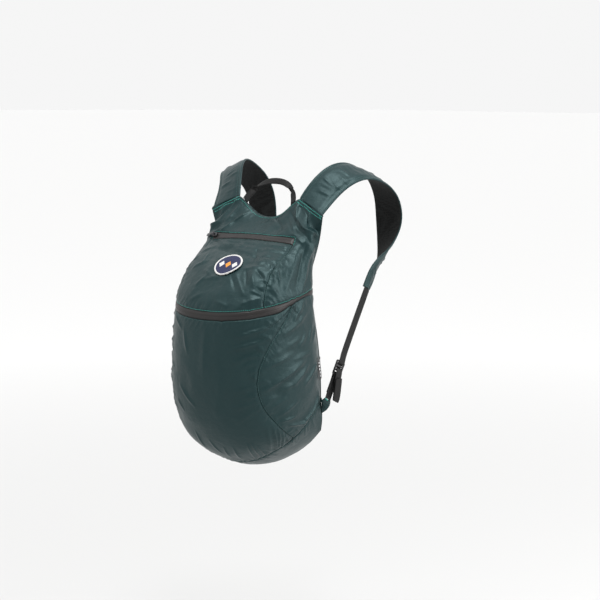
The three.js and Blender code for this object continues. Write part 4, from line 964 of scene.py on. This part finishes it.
HOLE_PITCH = 0.0032
KNIT_HOLE_SHADE = (0.002, 0.002, 0.002)
KNIT_YARN = (0.013, 0.014, 0.014)
mesh_knit = Finish("black_spacer_mesh", roughness=0.75, specular_ior_level=0.2)
cells = mesh_knit.node("ShaderNodeTexVoronoi", {"feature": "F1"}, Vector=mesh_knit.place(),
                       Scale=1 / HOLE_PITCH, Randomness=0.25)
# The holes are painted darker than the yarn, a painted shade inside the open knit.
yarn = cells.above(0.38, 0.2)
mesh_knit.paint(mesh_knit.between(KNIT_HOLE_SHADE, KNIT_YARN, yarn))
mesh_knit.relief(yarn, 0.0007)
for side in ("right", "left"):
    lining = copy_of("strap_lining_" + side, "strap_lining_mesh_" + side)
    soften(lining, 0.7, 2)
    lining.data.materials.append(mesh_knit.material)
    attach(lining, "pack")
    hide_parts("strap_lining_" + side)


# Webbing and grab handle
# Black ribbed nylon tape: a narrow loop sewn under the neck to lift the pack by, and on each side
# one length from the strap through the adjuster, with its tail folded up, and one to the cloth tab.
RIB_PITCH = 0.0016
# Colours of the black tape between its ribs, in painted shade, and on their crests, as a painted highlight.
RIB_SHADE = (0.003, 0.003, 0.003)
RIB_HIGHLIGHT = (0.009, 0.009, 0.009)
SEWN_DEPTH = 0.0026
SEWN_FADE = 0.003
SEWN_INTO = {"strap_webbing_right": "strap_right", "strap_webbing_left": "strap_left",
             "anchor_webbing_right": "anchor_tab_right", "anchor_webbing_left": "anchor_tab_left"}
ribbed = Finish("black_webbing", roughness=0.5, specular_ior_level=0.22)
# The ribs are painted lighter on their crests and darker between them, a painted shade and highlight of the
# weave, mixed with random tone.
rib = ribbed.read("along").wave(RIB_PITCH)
rib_shade_and_tone = rib * 0.6 + ribbed.cloud(0.004, 3) * 0.4
ribbed.paint(ribbed.between(RIB_SHADE, RIB_HIGHLIGHT, rib_shade_and_tone))
ribbed.relief(rib * 0.7 + ribbed.cloud(0.0009, 1) * 0.3, 0.0003)
for node in ("grab_handle", "strap_webbing_right", "strap_webbing_left",
             "anchor_webbing_right", "anchor_webbing_left"):
    band = copy_of(node, node + "_tape")
    soften(band, 0.75, 2)
    rows = places_of(band)
    centre = rows.mean(axis=0)
    gaps = distance_to(rows, places_of(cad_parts[SEWN_INTO[node]])) if node in SEWN_INTO else rows[:, 2]
    inwards = rows[gaps < gaps.min() + 0.001].mean(axis=0) - rows[gaps < gaps.min() + 0.012].mean(axis=0)
    sewn = np.exp(-((gaps - gaps.min()) / SEWN_FADE) ** 2)[:, None]
    rows += sewn * inwards / np.linalg.norm(inwards) * SEWN_DEPTH
    put_places(band, rows)
    if node == "grab_handle":
        foot = np.array((0, centre[1], rows[:, 2].min()))
        reach = np.arctan2(rows[:, 2] - foot[2] + 0.002, rows[:, 0]) * 0.05
    else:
        reach = (rows - centre) @ np.linalg.svd(rows - centre, full_matrices=False)[2][0]
    tag(band, "along", reach + 1)
    band.data.materials.append(ribbed.material)
    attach(band, "pack")
    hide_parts(node)


# Tabs
# A folded scrap of the nylon at each lower corner holds the end of the webbing, fixed with a dense
# teal bar of thread.
TAB_TUCK = 0.004
BARTACK_LENGTH = 0.009
BARTACK_SHARE = 0.78
BARTACK_SLANT = 0.35
BARTACK_STITCHES = 13
BARTACK_SIZE = (0.0034, 0.0011, 0.0009)
for side, flip in (("right", 1), ("left", -1)):
    tab = copy_of("anchor_tab_" + side, "tab_cloth_" + side)
    soften(tab, 0.6, 2)
    rows = places_of(tab)
    gaps = distance_to(rows, places_of(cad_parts["anchor_webbing_" + side]))
    inwards = rows[gaps > gaps.max() - 0.004].mean(axis=0) - rows[gaps < gaps.min() + 0.004].mean(axis=0)
    share = np.clip((gaps - 0.008) / (gaps.max() - 0.008), 0, 1)
    put_places(tab, rows + share[:, None] * inwards / np.linalg.norm(inwards) * TAB_TUCK)
    tab.data.materials.append(nylon.material)
    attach(tab, "pack")
    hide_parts("anchor_tab_" + side)
    bpy.context.view_layer.update()
    rows = places_of(tab)
    gaps = distance_to(rows, places_of(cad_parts["anchor_webbing_" + side]))
    mouth = rows[gaps < gaps.min() + 0.003]
    spread = np.linalg.svd(mouth - mouth.mean(axis=0), full_matrices=False)[2][0]
    inner = rows.mean(axis=0) * (1 - BARTACK_SHARE) + mouth.mean(axis=0) * BARTACK_SHARE
    outwards = Vector(mouth.mean(axis=0) - rows.mean(axis=0)).normalized()
    slant = (Vector(spread) * BARTACK_SLANT + outwards).normalized()
    found = []
    for share in np.linspace(-0.5, 0.5, BARTACK_STITCHES):
        for face_side in (1, -1):
            beyond = Vector((0.02 * flip * face_side, -0.01 * face_side, 0))
            spot = Vector(inner + spread * share * BARTACK_LENGTH) + beyond
            _, place, normal, _ = tab.closest_point_on_mesh(spot)
            found.append((place, slant, normal))
    bar = sew("bartack_" + side, found, teal_thread, BARTACK_SIZE)
    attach(bar, "pack")


# Adjusters
# A black moulded ladder lock on each side, with rounded bars that the webbing is threaded through.
def harden(piece, radius, segments=3):
    """Rounds a hard solid's edges."""
    select_only(piece)
    bpy.ops.object.mode_set(mode="EDIT")
    bpy.ops.mesh.select_all(action="SELECT")
    bpy.ops.mesh.dissolve_limited(angle_limit=math.radians(1.5))
    bpy.ops.object.mode_set(mode="OBJECT")
    rounding = piece.modifiers.new("rounding", "BEVEL")
    rounding.width = radius
    rounding.segments = segments
    rounding.angle_limit = math.radians(35)
    bpy.ops.object.modifier_apply(modifier="rounding")
    bpy.ops.object.shade_smooth_by_angle(angle=math.radians(40))


ACETAL_DARK = (0.008, 0.008, 0.009)
ACETAL_LIGHT = (0.015, 0.015, 0.016)
LOCK_ROUNDING = 0.0006
moulded = Finish("black_acetal")
moulded.feed("Roughness", moulded.cloud(0.003, 3) * 0.2 + 0.25)
moulded.paint(moulded.between(ACETAL_DARK, ACETAL_LIGHT, moulded.cloud(0.01, 2)))
moulded.relief(moulded.cloud(0.0005, 2), 0.00008)
for side in ("right", "left"):
    lock = copy_of("ladder_lock_" + side, "ladder_lock_moulding_" + side)
    harden(lock, LOCK_ROUNDING)
    lock.data.materials.append(moulded.material)
    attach(lock, "pack")
    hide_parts("ladder_lock_" + side)


# Zip sliders
# Dark plated sliders, one on the pocket zip with its hanging pull, one at the left end of the main zip.
PLATING_DARK = (0.035, 0.035, 0.038)
PLATING_LIGHT = (0.085, 0.085, 0.09)
plated = Finish("dark_plating", metallic=0.9)
wear = plated.cloud(0.004, 4)
plated.paint(plated.between(PLATING_DARK, PLATING_LIGHT, wear))
plated.feed("Roughness", wear * 0.25 + 0.24)
for node, body, radius in (("pocket_zip_slider", "pack", 0.0004), ("main_zip_slider", "pack", 0.0005),
                           ("pocket_zip_pull", "pocket_pull", 0.0003)):
    fitting = copy_of(node, node + "_casting")
    harden(fitting, radius, 2)
    fitting.data.materials.append(plated.material)
    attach(fitting, body)
    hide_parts(node)


# Badge
# A round embroidered patch sewn on the pocket: a white overlocked rim, a navy satin ground and a row
# of three plain diamonds in white, orange and white.
BADGE_RADIUS = 0.029
RIM_WIDTH = 0.0034
RIM_HEIGHT = 0.0011
FIELD_HEIGHT = 0.0004
THREAD_PITCH = 0.0009
DIAMOND_STEP = 0.0150
DIAMOND_HALF = (0.0062, 0.0088)
WHITE = (0.72, 0.71, 0.69)
NAVY = (0.018, 0.022, 0.075)
ORANGE = (0.80, 0.32, 0.045)
PATCH_WALL = 0.0009
PATCH_SINK = 0.0006
PATCH_RINGS = (0.985, 0.95, 0.91, 0.885, 0.88, 0.84, 0.76, 0.66, 0.55, 0.44, 0.33, 0.22, 0.11, 0.03)
PROBE_LIFT = 0.02
outer_face = [face for face in badge_solid.data.polygons if face.normal.y < -0.3]
badge_normal = sum((face.normal * face.area for face in outer_face), Vector()).normalized()
badge_area = sum(face.area for face in outer_face)
badge_centre = sum((face.center * face.area for face in outer_face), Vector()) / badge_area
badge_across = (Vector((1, 0, 0)) - badge_normal * badge_normal.x).normalized()
badge_up = badge_normal.cross(badge_across)
bpy.ops.object.select_all(action="DESELECT")
bpy.ops.mesh.primitive_circle_add(vertices=72, radius=BADGE_RADIUS, fill_type="NOTHING")
badge = bpy.context.object
badge.name = "badge_embroidery"
bpy.ops.object.mode_set(mode="EDIT")
for radius in PATCH_RINGS:
    bpy.ops.mesh.extrude_edges_move()
    bpy.ops.object.mode_set(mode="OBJECT")
    for corner in badge.data.vertices:
        if corner.select:
            corner.co = corner.co.normalized() * BADGE_RADIUS * radius
    bpy.ops.object.mode_set(mode="EDIT")
bpy.ops.mesh.edge_face_add()
bpy.ops.mesh.select_all(action="SELECT")
bpy.ops.mesh.normals_make_consistent(inside=False)
bpy.ops.object.mode_set(mode="OBJECT")
flat = places_of(badge)
if badge.data.polygons[0].normal.z < 0:
    badge.data.flip_normals()
tag(badge, "across", flat[:, 0])
tag(badge, "up", flat[:, 1])
placed = np.zeros_like(flat)
for k, (x, y, _) in enumerate(flat):
    share = math.hypot(x, y) / BADGE_RADIUS
    spot = badge_centre + badge_across * x + badge_up * y
    inner = min(share, 0.97) / max(share, 1e-6)
    probe = badge_centre + (badge_across * x + badge_up * y) * inner + badge_normal * PROBE_LIFT
    hit, place, _, _ = badge_solid.ray_cast(probe, -badge_normal)
    level = (place - badge_centre).dot(badge_normal) if hit else 0
    roll = 1 - ((1 - share) * BADGE_RADIUS / (RIM_WIDTH / 2) - 1) ** 2
    height = RIM_HEIGHT * math.sqrt(max(roll, 0)) if (1 - share) * BADGE_RADIUS < RIM_WIDTH else FIELD_HEIGHT
    placed[k] = spot + badge_normal * (level + height - (PATCH_SINK if share > 0.999 else 0))
put_places(badge, placed)
thicken(badge, PATCH_WALL)
badge.data.shade_smooth()
embroidery = Finish("badge_embroidery", roughness=0.6, specular_ior_level=0.35)
across, up = embroidery.read("across"), embroidery.read("up")
far = (across * across + up * up).math("SQRT")
rim = far.above(BADGE_RADIUS - RIM_WIDTH, 0.0003)


def diamond(middle):
    """1 inside a diamond on the row, 0 outside."""
    span = (across - middle).math("ABSOLUTE") / DIAMOND_HALF[0] + up.math("ABSOLUTE") / DIAMOND_HALF[1]
    return 1 - span.above(1.0, 0.06)


ends = diamond(-DIAMOND_STEP) + diamond(DIAMOND_STEP)
centre_stone = diamond(0.0)
satin = (up + across * 0.15).wave(THREAD_PITCH)
oversew = (up.math("ARCTAN2", across) * BADGE_RADIUS).wave(0.0014)
ground = embroidery.between(NAVY, WHITE, ends)
ground = embroidery.between(ground, ORANGE, centre_stone)
ground = embroidery.between(ground, WHITE, rim)
shade = (satin * (1 - rim) + oversew * rim) * 0.22 + 0.78
embroidery.paint(embroidery.between(ground, shade, 1.0, "MULTIPLY"))
embroidery.relief((ends + centre_stone) * 0.4 + shade, 0.0005)
badge.data.materials.append(embroidery.material)
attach(badge, "pack")
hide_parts("round_badge")


# Side label
# A small folded black satin label caught in the right back seam, with plain white woven marks.
MARK_PITCH = 0.0062
MARK_STRIP = (0.0035, 0.0085)
MARK_MARGIN = 0.005
MARK_BLUR = 0.0004
SATIN_BLACK = (0.008, 0.008, 0.009)
MARK_WHITE = (0.7, 0.7, 0.7)
label = copy_of("side_label", "side_label_satin")
soften(label, 0.8, 2)
satin_weave = Finish("black_label", roughness=0.5)
label_low, label_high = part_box("side_label")
up_label = satin_weave.node("ShaderNodeSeparateXYZ", Vector=satin_weave.place(), output="Z") - label_low[2]
in_label = satin_weave.node("ShaderNodeSeparateXYZ", Vector=satin_weave.place(), output="Y") - label_low[1]


def within(distance, low, high):
    """1 between two distances, 0 outside them."""
    return distance.above(low, MARK_BLUR) * (1 - distance.above(high, MARK_BLUR))


bars = up_label.wave(MARK_PITCH).above(0.42, 0.1)
strip = within(in_label, *MARK_STRIP)
ends_off = within(up_label, MARK_MARGIN, label_high[2] - label_low[2] - MARK_MARGIN)
marks = bars * strip * ends_off
satin_weave.paint(satin_weave.between(SATIN_BLACK, MARK_WHITE, marks))
satin_weave.relief(satin_weave.cloud(0.0006, 1), 0.0002)
label.data.materials.append(satin_weave.material)
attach(label, "pack")
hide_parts("side_label")
